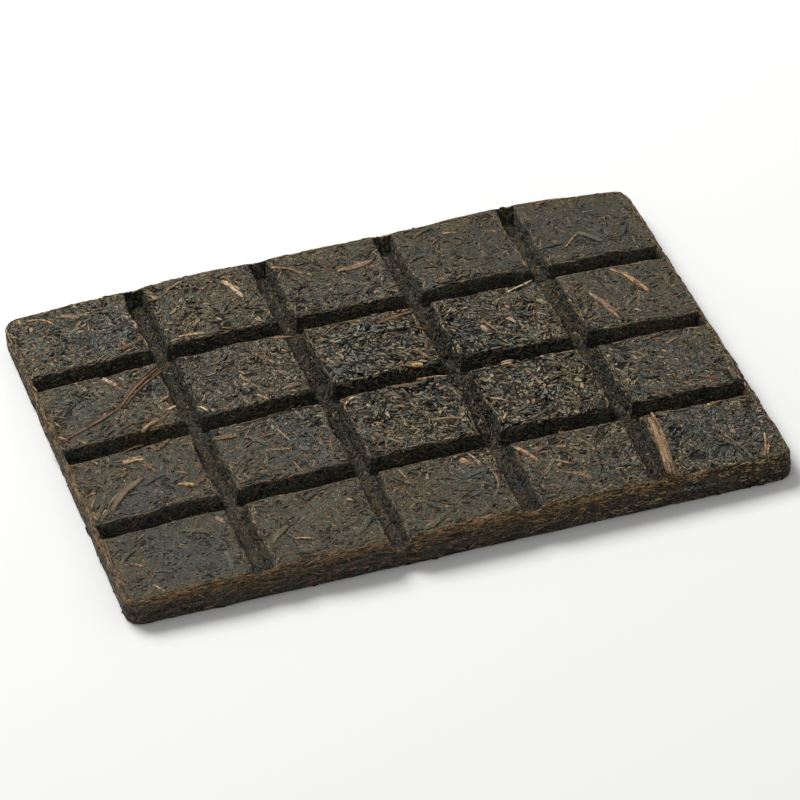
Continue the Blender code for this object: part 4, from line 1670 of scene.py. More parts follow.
SMALL_STEMS = (
    # Far row, from the left block.
    Stem(PALE, (-63.2, 61.5), (-63, 56.5), 0.7, 0.3, 0.3),
    Stem(TAN, (-91.6, 57.2), (-90.2, 56.6), 1.2),
    Stem(TAN, (-29, 71), (-26.8, 67), 0.8, 0.4),
    Stem(BROWN, (-56, 70), (-50, 70.6), 1.4),
    Stem(DRAB, (-38.5, 46.2), (-36, 44.4), 1),
    Stem(OLIVE, (-44, 60.4), (-40, 63.6), 0.9, 0.3, 0.4),
    Stem(OLIVE, (-41, 60.2), (-33, 58), 0.7, 0.2, 1),
    Stem(OLIVE, (-51.5, 61.5), (-50, 57.6), 0.8, 0.2, 0.8),
    Stem(TAN, (2, 56.2), (6.2, 54.2), 1.3, 0.3, 0.5),
    Stem(OLIVE, (8, 45.2), (18.2, 49.4), 1, 0.3, 0.6),
    Stem(GOLD, (39, 72.2), (43.2, 71), 0.9, 0.4),
    Stem(DRAB, (29.6, 46.8), (34.6, 48.4), 2.2, 0.3, 0.3),
    Stem(TAN, (53.4, 68.4), (55, 67.2), 0.9),
    Stem(TAN, (91.6, 67.4), (92.8, 66.6), 0.9),
    # Second row.
    Stem(REDDISH, (-61.6, 30.8), (-76.6, 16.8), 0.8, 0.5, -0.8),
    Stem(PALE, (-77, 32.2), (-75.6, 28.8), 0.8, 0.8),
    Stem(TAN, (-73.2, 25.4), (-72, 22.8), 0.8),
    Stem(TAN, (-67.2, 14.4), (-62.8, 17.2), 1.5),
    Stem(PALE, (-66.2, 9.8), (-62.2, 11.2), 0.8),
    Stem(GOLD, (-98, 10.2), (-95.8, 6.2), 0.9),
    Stem(TAN, (-93.6, 6.6), (-91.4, 3), 0.9),
    Stem(DRAB, (-68.2, 5.8), (-64.8, 9.2), 1),
    Stem(PALE, (-31.2, 24.8), (-29.4, 21.8), 0.8),
    Stem(DRAB, (-30.2, 17.2), (-26.8, 15), 1.1),
    Stem(TAN, (-40.2, 21.2), (-38.4, 18.8), 0.9),
    Stem(TAN, (-54.2, 9.8), (-52.8, 13.2), 0.9),
    Stem(PALE, (-56, 8.2), (-54, 4.8), 1.1),
    Stem(DRAB, (-38.2, 7.2), (-35.8, 3.4), 1.8, 0.4),
    Stem(GOLD, (-50, 4.2), (-48, 3), 0.8),
    Stem(DRAB, (-27.2, 35), (-20, 33.2), 1),
    Stem(BROWN, (4, 26.2), (19, 21.2), 1.1, 0.4, 2.4),
    Stem(DRAB, (15.4, 10.2), (17.6, 16.2), 1.7, 0.6),
    Stem(GOLD, (9, 4.2), (12.2, 3.4), 1.9, 0.5),
    Stem(TAN, (42, 27.2), (44.2, 30.2), 1.3, 0.4),
    Stem(REDDISH, (36, 31), (39.2, 34.2), 1, 0.4),
    Stem(GOLD, (25.4, 18.6), (26.8, 17.2), 1),
    Stem(DRAB, (36, 8.2), (39.2, 3.8), 1.3, 0.4),
    Stem(TAN, (50.4, 15), (52.2, 20.2), 0.6),
    Stem(TAN, (81, 34.2), (83.2, 30.8), 0.8),
    Stem(TAN, (84.6, 31), (85.8, 25.6), 0.9, 0.5),
    Stem(PALE, (81, 10.2), (82.2, 8.4), 0.9),
    # Third row.
    Stem(BROWN, (-79, -13.8), (-76, -20.2), 1, 0.4, 0.7),
    Stem(TAN, (-98, -22.8), (-95, -22), 0.9),
    Stem(TAN, (-98, -29.2), (-96, -24.8), 0.9),
    Stem(GOLD, (-95.6, -33.4), (-94.4, -32), 1),
    Stem(TAN, (-92.2, -6), (-91, -8.2), 0.9),
    Stem(OLIVE, (-83.2, -6.2), (-76, -4.8), 0.7, 0.2, 0.8),
    Stem(PALE, (-38.2, -10.2), (-35.4, -20.2), 0.7, 0.3),
    Stem(DRAB, (-49, -18.2), (-37, -15), 0.7, 0.3, 1.6),
    Stem(TAN, (-43.8, -21.8), (-42.2, -22.8), 1),
    Stem(DRAB, (-37.2, -31), (-36, -37.2), 0.9),
    Stem(REDDISH, (-22, -19.8), (-25.2, -33.2), 0.9, 0.3, -1.2),
    Stem(REDDISH, (0, -5.4), (8.2, -6.2), 1.6, 0.5),
    Stem(PALE, (9, -4), (17.2, -5.2), 0.7, 0.4),
    Stem(DRAB, (-14.2, -25.2), (-5, -34.2), 1.4, 0.3, 0.5),
    Stem(TAN, (-10.2, -21), (-8, -22.2), 0.9),
    Stem(TAN, (40, -9.8), (42.2, -20.2), 0.7, 0.4),
    Stem(REDDISH, (36, -5), (38.2, -8.2), 1.6, 0.4),
    Stem(GOLD, (26, -33.2), (28.2, -29.8), 1.2, 0.5),
    Stem(GOLD, (38, -19.8), (40.2, -22.2), 0.9),
    Stem(PALE, (26, -20.8), (30.2, -24.2), 0.8),
    Stem(OLIVE, (47, -23.8), (50.2, -31.2), 0.9, 0.3),
    Stem(OLIVE, (51, -15.8), (55.2, -20.2), 0.9, 0.3),
    Stem(DRAB, (64, -18), (67.2, -25.2), 0.8, 0.3, 0.9),
    Stem(DRAB, (73, -12), (75.2, -17.2), 0.8, 0.3, 0.8),
    Stem(GOLD, (66.4, -25.4), (67.6, -27), 1.1),
    Stem(TAN, (81.4, -14.2), (82.6, -15.8), 1),
    Stem(TAN, (84, -11.2), (88.2, -9), 0.9),
    Stem(OLIVE, (72, -35.8), (76.2, -39), 0.8, 0.3, 0.6),
    # Near row.
    Stem(DRAB, (-65.6, -48), (-64, -52.2), 2.2, 0.3),
    Stem(BROWN, (-71, -47), (-75.2, -54.2), 0.9, 0.3, 0.7),
    Stem(BROWN, (-98.6, -47), (-99, -60), 0.9, 0.3),
    Stem(TAN, (-94.2, -60), (-91, -63.2), 1),
    Stem(TAN, (-90.2, -73), (-88, -78), 0.9),
    Stem(GOLD, (-28.2, -55), (-26.8, -56.2), 1.2),
    Stem(DRAB, (-50.6, -55.4), (-49.4, -56.8), 1.2),
    Stem(PALE, (11, -46), (13.2, -52.2), 0.7, 0.4),
    Stem(DRAB, (15, -56), (11, -71), 0.7, 0.3, 2),
    Stem(GOLD, (-10, -47), (-9, -52.2), 0.6),
    Stem(REDDISH, (30, -52.2), (34.2, -49.8), 2.6, 0.3, 0, 0.6),
    Stem(DRAB, (40, -46), (47.2, -58.2), 0.8, 0.3, 0.9),
    Stem(GOLD, (49, -68.8), (51.2, -69.6), 0.9, 0.4),
    Stem(GOLD, (52, -70.2), (53.6, -69.4), 0.8, 0.4),
    Stem(TAN, (33, -57.8), (38.2, -62.2), 0.9, 0.3),
    Stem(GOLD, (95.4, -71), (92, -78.6), 0.8, 0.9, -0.2),
    Stem(OLIVE, (78.4, -49), (82.6, -62.4), 0.4, 0.3, 0.6),
    Stem(BROWN, (80.4, -50), (84.2, -62.4), 0.4, 0.3, 0.4, 1.2),
    Stem(BROWN, (82, -62), (86.6, -75.8), 0.4, 0.3, 0.7, 1.2),
    Stem(DRAB, (84, -62), (88.2, -77.8), 0.5, 0.3, 0.4, 0.9),
    Stem(GOLD, (84.6, -46), (85.6, -47.2), 0.9),
)


@dataclass(frozen=True)
class StemFinish:
    """Woody stem or dry leaf vein: pale fibres along it, painted shade in its splits and at its rounded
    edges, worn brown patches.
    """

    name: str
    worn_colour: Colour = (0.110, 0.055, 0.026)
    worn_scale: float = 1100.0
    worn_span: Span = (0.46, 0.64)
    worn_share: float = 0.85
    worn_edge: float = 0.10
    fibre_cells: Triple = (0.25, 3.2, 1.0)
    fibre_gains: Span = (0.5, 1.65)
    split_cells: Triple = (0.18, 1.5, 1.0)
    split_span: Span = (0.36, 0.43)
    # Painted shade in the stem's splits.
    split_shade: float = 0.8
    # Painted shade toward the stem's rounded edges, from this share of its half width.
    edge_from: float = 0.7
    edge_light_gain: float = 0.35
    roughness: float = 0.6
    specular: float = 0.2
    specular_tint: Colour = (1.0, 0.9, 0.75)
    bump: float = 0.6
    bump_depth: float = 0.15 * MM

    def build(self) -> bpy.types.Material:
        """Makes the material.

        Returns:
            The material.
        """
        graph = Graph(self.name)
        strand = graph.carried("strand")
        fibre = graph.noise(graph.vector_math("MULTIPLY", strand, self.fibre_cells), 1.0, 3.0)
        split = graph.noise(graph.vector_math("MULTIPLY", strand, self.split_cells), 1.0, 1.0)
        across = graph.math("ABSOLUTE", graph.parts(graph.carried("lane"))[0])
        worn = graph.noise(graph.place(), self.worn_scale, 3.0)
        worn = graph.math("ADD", worn, graph.product(across, self.worn_edge))
        worn = graph.stretch(worn, self.worn_span, (0.0, self.worn_share))
        gain = graph.product(
            graph.stretch(fibre, CLOUD, self.fibre_gains),
            graph.stretch(split, self.split_span, (1 - self.split_shade, 1.0)),
            graph.stretch(across, (self.edge_from, 1.0), (1.0, self.edge_light_gain)),
        )
        colour = graph.blend(worn, graph.carried("tint"), self.worn_colour)
        graph.feed("Base Color", graph.tinted(colour, gain))
        graph.feed("Roughness", self.roughness)
        graph.feed("Specular IOR Level", self.specular)
        graph.feed("Specular Tint", (*self.specular_tint, 1.0))
        graph.emboss(fibre, self.bump, self.bump_depth)
        return graph.material


@dataclass(frozen=True)
class Splinters:
    """Thin splinters split off stems, which lie along and partly over them.

    Begin and finish are shares of the stem's length, and the other ranges are shares of
    its width, height or colour.
    """

    count: int = 3
    begin: Span = (-0.12, 0.45)
    finish: Span = (0.55, 1.12)
    shift: Span = (-0.45, 0.45)
    slant: Span = (-0.25, 0.25)
    width: Span = (0.22, 0.42)
    proud: Span = (0.75, 1.2)
    gain: Span = (0.45, 1.35)
    tint: Colour = (1.0, 0.94, 0.84)

    def split(self, stem: Strip, draw: Draw) -> Strip:
        """Splits one splinter off a stem.

        Args:
            stem: The stem.
            draw: Source of random numbers.

        Returns:
            The splinter.
        """
        run = stem.end - stem.start
        aside = Vector((-run.y, run.x)).normalized()
        begin, finish = draw.uniform(*self.begin), draw.uniform(*self.finish)
        shift = aside * stem.width * draw.uniform(*self.shift)
        slant = aside * stem.width * draw.uniform(*self.slant)
        width = stem.width * draw.uniform(*self.width)
        share = (begin + finish) / 2
        arc = aside * stem.bow * 4 * share * (1 - share)
        return Strip(
            stem.start + run * begin + shift + arc * 0.5,
            stem.start + run * finish + shift + slant + arc * 0.5,
            width,
            stem.proud * draw.uniform(*self.proud),
            stem.bow * (finish - begin),
        )

    def split_all(self, stems: list[Strip], draw: Draw) -> tuple[list[Strip], Array]:
        """Splits splinters off all stems."""
        strips = [self.split(stem, draw) for stem in stems for _ in range(self.count)]
        return strips, draw.uniform(*self.gain, (len(strips), 1)) * np.array(self.tint)


@dataclass(frozen=True)
class SideFlakes:
    """Layered flakes along the slab's sides, where the solid's are; ranges in millimetres."""

    form: BrickForm
    count: int = 26
    jitter: Span = (0.2, 0.8)
    corner_clearance: float = 9.0 * MM
    length: Span = (6.0, 12.0)
    width: Span = (1.0, 1.8)
    proud: Span = (0.35, 0.7)
    slope: Span = (-0.08, 0.08)
    height: Span = (2.2, 6.0)
    taper: Span = (0.6, 0.4)
    crown_run: Span = (0.15, 0.7)
    uneven: Span = (0.8, 1.0)
    sink: float = 0.9 * MM
    tip: float = 0.4 * MM

    def place(self, travelled: float) -> tuple[float, float, tuple[int, int]]:
        """Finds a place on the slab's outline.

        Args:
            travelled: Distance along the outline, from the near left corner.

        Returns:
            The place in plan, clear of the corners, and the way out of the slab there.
        """
        form = self.form
        spans = (form.length, form.width, form.length, form.width)
        side = 0
        while travelled > spans[side]:
            travelled -= spans[side]
            side += 1
        clear = self.corner_clearance
        run = min(max(travelled, clear), spans[side] - clear) - spans[side] / 2
        return (
            (run, -form.width / 2, (0, -1)),
            (form.length / 2, run, (1, 0)),
            (-run, form.width / 2, (0, 1)),
            (-form.length / 2, -run, (-1, 0)),
        )[side]

    def lay(self, palette: Palette, shelves: Array, sections: int, lids: Lids, draw: Draw) -> None:
        """Lays the flakes.

        Args:
            palette: Their colours.
            shelves: Places across a flake, from -1 to 1, where its top is flat.
            sections: How many sections each has.
            lids: Takes them.
            draw: Source of random numbers for colours and fine form.
        """
        rule = random.Random(SEED + Stream.SIDE_FLAKES)
        outline = 2 * (self.form.length + self.form.width)
        places, normals, widths, heights = [], [], [], []
        share = np.linspace(0.0, 1.0, sections)
        for number in range(self.count):
            x, y, outward = self.place((number + rule.uniform(*self.jitter)) / self.count * outline)
            sizes = (self.length, self.width, self.proud)
            length, width, proud = (rule.uniform(*size) * MM for size in sizes)
            slope = rule.uniform(*self.slope)
            height = rule.uniform(*self.height) * MM
            run = (share - 0.5) * length
            line = (x - outward[1] * run, y + outward[0] * run, height + slope * run)
            places.append(np.stack(np.broadcast_arrays(*line), axis=-1))
            normals.append(np.tile((*outward, 0.0), (sections, 1)))
            widths.append(width / 2 * arch(share, *self.taper))
            heights.append(proud * arch(self.crown_run[0] + self.crown_run[1] * share, 0.0, 1.0))
        uneven = draw.uniform(*self.uneven, (self.count, sections, len(shelves)))
        sinks = np.full(self.count, self.sink)
        tip = np.full(self.count, self.tip)
        paths = Paths(np.array(places), np.array(normals))
        raised = np.array(heights)[..., None] * uneven
        looks = Looks.draw_for(palette, paths.places[:, 0], ColourField(self.form), draw)
        lids.add(paths, np.array(widths), raised, shelves, sinks, tip, looks, draw)


@dataclass(frozen=True)
class TopFlakes:
    """Flakes scattered over the blocks' tops, where the solid's are."""

    form: BrickForm
    in_block: int = 4
    in_rough_block: int = 7
    length: Span = (5.0 * MM, 10.0 * MM)
    width: Span = (1.4 * MM, 2.8 * MM)
    proud: Span = (0.30 * MM, 0.60 * MM)
    bow: Span = (-0.1, 0.1)
    clearance: float = 3.2 * MM
    tries: int = 60

    @staticmethod
    def distance_to_stems(x: float, y: float) -> float:
        """Measures how far a point of the plan is from the nearest stem of the solid.

        Args:
            x: The point's place along the brick.
            y: Its place across it.

        Returns:
            The distance.
        """
        spot = Vector((x, y)) / MM
        nearest = math.inf
        for stem in SOLID_STEMS:
            begin = Vector(stem.start)
            run = Vector(stem.end) - begin
            share = min(max((spot - begin).dot(run) / run.length_squared, 0.0), 1.0)
            nearest = min(nearest, (spot - begin - run * share).length)
        return nearest * MM

    def on_block(self, across: Span, along: Span, draw: random.Random) -> list[Strip]:
        """Scatters flakes over one block, clear of each other and of the solid's stems.

        Args:
            across: Where the block starts and ends along the brick.
            along: Where it starts and ends across the brick.
            draw: Source of random numbers.

        Returns:
            The flakes.
        """
        middle = np.array(sum(across) / 2), np.array(sum(along) / 2)
        is_rough = float(self.form.rough_share(*middle)) > 0.5
        wanted = self.in_rough_block if is_rough else self.in_block
        placed = []
        flakes = []
        for _ in range(self.tries):
            length = draw.uniform(*self.length)
            angle = draw.uniform(0, math.tau)
            half_run = Vector((math.cos(angle), math.sin(angle))) * length / 2
            margin = abs(half_run.x), abs(half_run.y)
            x = draw.uniform(across[0] + margin[0], across[1] - margin[0])
            y = draw.uniform(along[0] + margin[1], along[1] - margin[1])
            width = draw.uniform(*self.width)
            proud = draw.uniform(*self.proud)
            bow = draw.uniform(*self.bow) * length
            spot = Vector((x, y))
            clear = all((spot - other).length > 2 * self.clearance for other in placed)
            far_enough = self.distance_to_stems(x, y) > self.clearance
            if len(placed) < wanted and clear and far_enough:
                placed.append(spot)
                flakes.append(Strip(spot - half_run, spot + half_run, width, proud, bow))
        return flakes

    def scattered(self) -> list[Strip]:
        """Scatters flakes over all blocks.

        Returns:
            The flakes.
        """
        draw = random.Random(SEED + Stream.TOP_FLAKES)
        inset = 2 * self.form.rim
        columns, rows = self.form.along_x.block_spans(inset), self.form.along_y.block_spans(inset)
        return [flake for column in columns for row in rows for flake in self.on_block(column, row, draw)]


@dataclass(frozen=True)
class Stems:
    """Stems and large flakes, laid as closed lids that stand up as the solid's do."""

    form: BrickForm
    splinters: Splinters = Splinters()
    sections: int = 8
    thin_sections: int = 4
    sink: float = 0.55 * MM
    shelves: tuple[float, ...] = (-0.84, -0.4, 0.0, 0.4, 0.84)
    thin_shelves: Span = (-0.5, 0.5)
    taper: Span = (0.62, 0.38)
    taper_to: Span = (0.08, 0.92)
    width_jitter: Span = (0.64, 1.06)
    lift: Span = (0.55, 0.45)
    uneven: Span = (0.8, 1.05)
    rounding: float = 0.35
    tip: Span = (0.05, 0.5)
    tint_jitter: Span = (0.85, 1.15)

    def lay(self, strips: list[Strip], tints: Array, lids: Lids, draw: Draw) -> None:
        """Lays strips on the tops of the blocks.

        Args:
            strips: The strips.
            tints: Their colours.
            lids: Takes them.
            draw: Source of random numbers.
        """
        starts = np.array([strip.start for strip in strips])
        runs = np.array([strip.end for strip in strips]) - starts
        width, proud, bow = np.array([strip[2:] for strip in strips]).T[..., None]
        aside = unit(np.column_stack((-runs[:, 1], runs[:, 0])))
        share = np.linspace(0.0, 1.0, self.sections)
        arc = arch(share, 0.0, 1.0)
        spots = starts[:, None] + runs[:, None] * share[:, None] + aside[:, None] * (bow * arc)[..., None]
        height = self.form.pressed_height(spots[..., 0], spots[..., 1])
        places = np.concatenate((spots, height[..., None]), axis=-1)
        normals = np.zeros_like(places)
        normals[..., 2] = 1.0
        taper = arch(np.clip(share, *self.taper_to), *self.taper)
        widths = width / 2 * taper * draw.uniform(*self.width_jitter, (len(strips), self.sections))
        uneven = draw.uniform(*self.uneven, (len(strips), self.sections, len(self.shelves)))
        shelves = np.array(self.shelves)
        lift = proud * arch(share, *self.lift)
        heights = lift[..., None] * uneven * (1 - self.rounding * np.abs(shelves) ** 3)
        sinks = np.full(len(strips), self.sink)
        tip = width[:, 0] * draw.uniform(*self.tip, len(strips))
        colours = ColourField(self.form)
        looks = Looks(tints, colours.gains(places[:, 0]), colours.contrast(places[:, 0]))
        lids.add(Paths(places, normals), widths, heights, shelves, sinks, tip, looks, draw)

    def build(self) -> None:
        """Makes the stems' piece and the flakes' piece."""
        draw = np.random.default_rng(SEED + Stream.STEMS)
        stems = Lids()
        listed = (*SOLID_STEMS, *SMALL_STEMS)
        strips = [stem.strip() for stem in listed]
        tints = np.array([stem.tone.value for stem in listed])
        tints = tints * draw.uniform(*self.tint_jitter, (len(listed), 1))
        tints = tints * np.array([stem.gain for stem in listed])[:, None]
        self.lay(strips, tints, stems, draw)
        split, gains = self.splinters.split_all(strips, draw)
        thin = replace(self, sections=self.thin_sections, shelves=self.thin_shelves)
        thin.lay(split, np.repeat(tints, self.splinters.count, axis=0) * gains, stems, draw)
        hand_over(stems.piece("stems", True), StemFinish("dry_stem").build())
        flakes = Lids()
        scattered = TopFlakes(self.form).scattered()
        self.lay(scattered, FLAKE_LEAF.pick(len(scattered), draw), flakes, draw)
        SideFlakes(self.form).lay(SIDE_LEAF, np.array(self.shelves), self.sections, flakes, draw)
        hand_over(flakes.piece("broad_flakes", False), LeafFinish("broad_leaf").build())


@dataclass(frozen=True)
class PressedCore:
    """The brick under its outer leaves: the scored form, sunk a little and rough."""

    form: BrickForm
    finish: CoreFinish
    step: float = 1.4 * MM
    sink: float = 0.22 * MM
    rough_sink: float = 0.3 * MM
    grain: float = 0.10 * MM
    grain_size: float = 1.9 * MM
    calm_gain: float = 1.35
    # Painted shade: where the grain shows most, the core seen in the gaps between shreds is darkened to this
    # gain.
    top_gain: float = 0.3
    groove_gain: float = 0.85
    upright: Span = (0.7, 0.95)
    wall_sink: float = 0.4
    gain_contrasts: Span = (0.15, 0.6)
    groove_from: Span = (0.6 * MM, 1.8 * MM)

    def build(self) -> bpy.types.Object:
        """Makes the piece.

        Returns:
            The piece.
        """
        shell = self.form.shell(self.step)
        points = shell.points
        rough = self.form.rough_share(points[:, 0], points[:, 1])
        slanted = points[:, 1] + 2 * points[:, 2]
        grain = sized_noise(points[:, 0], slanted, self.grain_size, Noise.CORE)
        normals = shell.normals()
        sink = self.sink + rough * self.rough_sink + grain * self.grain
        sink = sink * np.interp(np.abs(normals[:, 2]), self.upright, (self.wall_sink, 1.0))
        sunk = points - normals * sink[:, None]
        drop = self.form.pressed_height(points[:, 0], points[:, 1]) - points[:, 2]
        contrast = ColourField(self.form).contrast(points)
        top_gain = np.interp(contrast, self.gain_contrasts, (self.calm_gain, self.top_gain))
        depth = np.interp(drop, self.groove_from, UNIT)
        gain = top_gain * (1 - depth) + self.groove_gain * depth
        zones = np.repeat(gain[:, None], 3, axis=1)
        piece = make_object("pressed_core", sunk, [shell.quads], True, {"zone": zones})
        hand_over(piece, self.finish.build())
        return piece


@dataclass(frozen=True)
class Studio:
    """Camera, lights, world and floor."""

    azimuth: float = math.radians(13.736)
    elevation: float = math.radians(33.831)
    roll: float = math.radians(-4.668)
    position: Triple = (-323.372 * MM, -1337.328 * MM, 924.360 * MM)
    lens: float = 250.1
    sensor: float = 36.0
    clip_end: float = 50.0
    floor_size: float = 12.0
    floor_colour: Colour = (0.86, 0.86, 0.85)
    floor_roughness: float = 0.9
    floor_specular: float = 0.1
    sky: float = 0.42
    key_power: float = 52.0
    key_size: float = 1.1
    key_distance: float = 2.2
    key_azimuth: float = math.radians(112.0)
    key_elevation: float = math.radians(46.0)

    def place_camera(self) -> None:
        """Sets up the camera at the photograph's view."""
        sin_a, cos_a = math.sin(self.azimuth), math.cos(self.azimuth)
        sin_e, cos_e = math.sin(self.elevation), math.cos(self.elevation)
        forward = Vector((sin_a * cos_e, cos_a * cos_e, -sin_e))
        level = Vector((cos_a, -sin_a, 0.0))
        upright = level.cross(forward)
        right = level * math.cos(self.roll) + upright * math.sin(self.roll)
        up = upright * math.cos(self.roll) - level * math.sin(self.roll)
        data = bpy.data.cameras.new("view")
        data.lens = self.lens
        data.sensor_width = self.sensor
        data.clip_end = self.clip_end
        camera = bpy.data.objects.new("view", data)
        turn = Matrix((right, up, -forward)).transposed().to_4x4()
        camera.matrix_world = Matrix.Translation(Vector(self.position)) @ turn
        bpy.context.scene.collection.objects.link(camera)
        bpy.context.scene.camera = camera

    def hang_key(self) -> None:
        """Hangs the key light, a square soft one that faces the brick."""
        data = bpy.data.lights.new("key", "AREA")
        data.energy = self.key_power
        data.size = self.key_size
        level = math.cos(self.key_elevation)
        across, along = math.cos(self.key_azimuth) * level, math.sin(self.key_azimuth) * level
        place = Vector((across, along, math.sin(self.key_elevation)))
        lamp = bpy.data.objects.new("key", data)
        lamp.location = place * self.key_distance
        lamp.rotation_euler = place.to_track_quat("Z", "Y").to_euler()
        bpy.context.scene.collection.objects.link(lamp)

    def lay_floor(self) -> None:
        """Lays the pale floor."""
        half = self.floor_size / 2
        mesh = bpy.data.meshes.new("floor")
        corners = [(-half, -half, 0.0), (half, -half, 0.0), (half, half, 0.0), (-half, half, 0.0)]
        mesh.from_pydata(corners, [], [(0, 1, 2, 3)])
        floor = bpy.data.objects.new("floor", mesh)
        bpy.context.scene.collection.objects.link(floor)
        graph = Graph("floor_paint")
        graph.feed("Base Color", (*self.floor_colour, 1.0))
        graph.feed("Roughness", self.floor_roughness)
        graph.feed("Specular IOR Level", self.floor_specular)
        mesh.materials.append(graph.material)

    def build(self) -> None:
        """Sets up the whole studio."""
        self.place_camera()
        self.hang_key()
        world = bpy.data.worlds.new("studio")
        world.use_nodes = True
        world.node_tree.nodes["Background"].inputs["Color"].default_value = (1.0, 1.0, 1.0, 1.0)
        world.node_tree.nodes["Background"].inputs["Strength"].default_value = self.sky
        bpy.context.scene.world = world
        self.lay_floor()
        bpy.context.scene.view_settings.view_transform = "Standard"


# Grey-green of the leaf: partly its own colour and partly painted sheen that dark leaf shows under the studio
# light.
SLATE_AND_SHEEN = (0.031, 0.036, 0.0335)
OLIVE_LEAF = (0.056, 0.055, 0.037)
BROWN_LEAF = (0.090, 0.061, 0.034)
UMBER_LEAF = (0.042, 0.030, 0.021)
BLACK_LEAF = (0.010, 0.009, 0.008)
TAN_LEAF = (0.25, 0.175, 0.100)


def make_palette(unevenness: float, *tints: tuple[Colour, float]) -> Palette:
    """A palette of colours with their shares."""
    return Palette(tuple(Tint(*tint) for tint in tints), unevenness)


# Near-black painted shadow for the slivers in the gaps beside shreds.
SHADOW_SLIVERS = make_palette(0.0, ((0.006, 0.0052, 0.0045), 1.0))
# Lighter painted highlight for the slivers on the shreds' rims.
HIGHLIGHT_SLIVERS = make_palette(0.35, ((0.105, 0.083, 0.052), 0.5), ((0.090, 0.085, 0.066), 0.5))
PLATE_LEAF = make_palette(0.3, (SLATE_AND_SHEEN, 0.66), (OLIVE_LEAF, 0.14), (UMBER_LEAF, 0.12), (BLACK_LEAF, 0.08))
SHRED_LEAF = make_palette(
    0.4,
    (SLATE_AND_SHEEN, 0.33),
    (OLIVE_LEAF, 0.26),
    (UMBER_LEAF, 0.18),
    (BROWN_LEAF, 0.10),
    (BLACK_LEAF, 0.11),
    ((0.180, 0.130, 0.078), 0.02),
)
BROW_LEAF = make_palette(
    0.3,
    ((0.042, 0.047, 0.043), 0.50),
    ((0.074, 0.071, 0.048), 0.28),
    ((0.105, 0.070, 0.040), 0.18),
    (TAN_LEAF, 0.04),
)
BROWN_SHREDS = make_palette(
    0.35, (BROWN_LEAF, 0.35), ((0.125, 0.070, 0.035), 0.30), ((0.215, 0.140, 0.072), 0.35)
)
SIDE_SPECKS = make_palette(0.4, ((0.13, 0.066, 0.034), 0.7), (TAN_LEAF, 0.3))
GROOVE_LEAF = make_palette(0.2, (SLATE_AND_SHEEN, 0.55), (OLIVE_LEAF, 0.20), (UMBER_LEAF, 0.25))
WALL_LEAF = make_palette(0.1, (SLATE_AND_SHEEN, 0.80), (UMBER_LEAF, 0.20))
SIDE_LEAF = make_palette(
    0.25,
    ((0.032, 0.036, 0.036), 0.40),
    ((0.042, 0.032, 0.0262), 0.40),
    ((0.090, 0.064, 0.043), 0.10),
    (BLACK_LEAF, 0.10),
)
FLAKE_LEAF = make_palette(0.2, (SLATE_AND_SHEEN, 0.55), (OLIVE_LEAF, 0.25), (UMBER_LEAF, 0.12), (BROWN_LEAF, 0.08))
EDGE_LEAF = make_palette(
    0.35, (TAN_LEAF, 0.12), ((0.120, 0.068, 0.036), 0.43), (OLIVE_LEAF, 0.20), (UMBER_LEAF, 0.25)
)


def span(low: float, high: float) -> Span:
    """Least and most of a size given in millimetres."""
    return low * MM, high * MM


FLAT = {"lift": span(0.0, 0.03), "rough_lift": 0.03 * MM, "roll": 0.02, "rough_roll": 0.02}
LOW = {"lift": span(0.03, 0.12), "rough_lift": 0.22 * MM, "sink": 0.15 * MM}
TOP, BROW, RIM, WALL, FLOOR, SIDE, BASE = ((region,) for region in Region)


def make_bed(regions: tuple[Region, ...], length: Span, width: Span, *cut: object, **others: object) -> Bed:
    """Where shreds lie and how they are cut, with their length and width in millimetres."""
    return Bed(regions, Cut(span(*length), span(*width), *cut, **others))


def top_layers() -> tuple[ShredLayer, ...]:
    """Layers of shreds on the blocks' tops, from the lowest.

    Returns:
        The layers.
    """
    fine = {"cell_share": 0.25, "cracks": 0.5, "opening": 0.0, "rim_highlight": 1.15, "rough_gain": 1.1}
    fine_leaf = LeafFinish("fine_leaf", **fine)
    # Lighter slivers paint a highlight, mostly on the side toward the key light; black ones paint shadow,
    # mostly away from it.
    highlight_slivers = ShadowAndHighlightSlivers(share=0.6, near_side=0.3, palette=HIGHLIGHT_SLIVERS, rough_width=0.0)
    few_shadow_slivers = ShadowAndHighlightSlivers(share=0.4, smooth_share=0.0, near_side=0.3)
    plates = {"shelf": 0.88, "spread": 1.1, "most_turn": 0.94, "rough_width": 0.3}
    shreds = {"spread": 1.2, "thinning": 0.6, "calm_thinning": 0.55, **LOW}
    crumbs = {"spread": 2.4, "sections": 2, "thinning": 0.9, "calm_thinning": 0.2, **LOW}
    return (
        ShredLayer(
            "leaf_plates",
            (make_bed(TOP, (2.0, 6.0), (0.7, 1.7), 1.65, PLATE_LEAF, **plates),),
            LeafFinish("shredded_leaf"),
            seed=1,
            smooth=False,
            painted_light_slivers=(highlight_slivers, ShadowAndHighlightSlivers(), few_shadow_slivers),
        ),
        ShredLayer(
            "leaf_shreds",
            (make_bed(TOP, (2.5, 6.5), (0.35, 0.9), 0.6, SHRED_LEAF, **shreds),),
            fine_leaf,
            seed=2,
            painted_light_slivers=(ShadowAndHighlightSlivers(share=0.6, smooth_share=0.03),),
        ),
        ShredLayer(
            "fine_shreds",
            (
                make_bed(TOP, (1.0, 3.2), (0.25, 0.6), 0.45, SHRED_LEAF, **crumbs),
                make_bed(BROW, (1.5, 5.0), (0.3, 0.7), 1.2, BROW_LEAF, spread=0.35, **FLAT),
            ),
            fine_leaf,
            seed=7,
        ),
    )


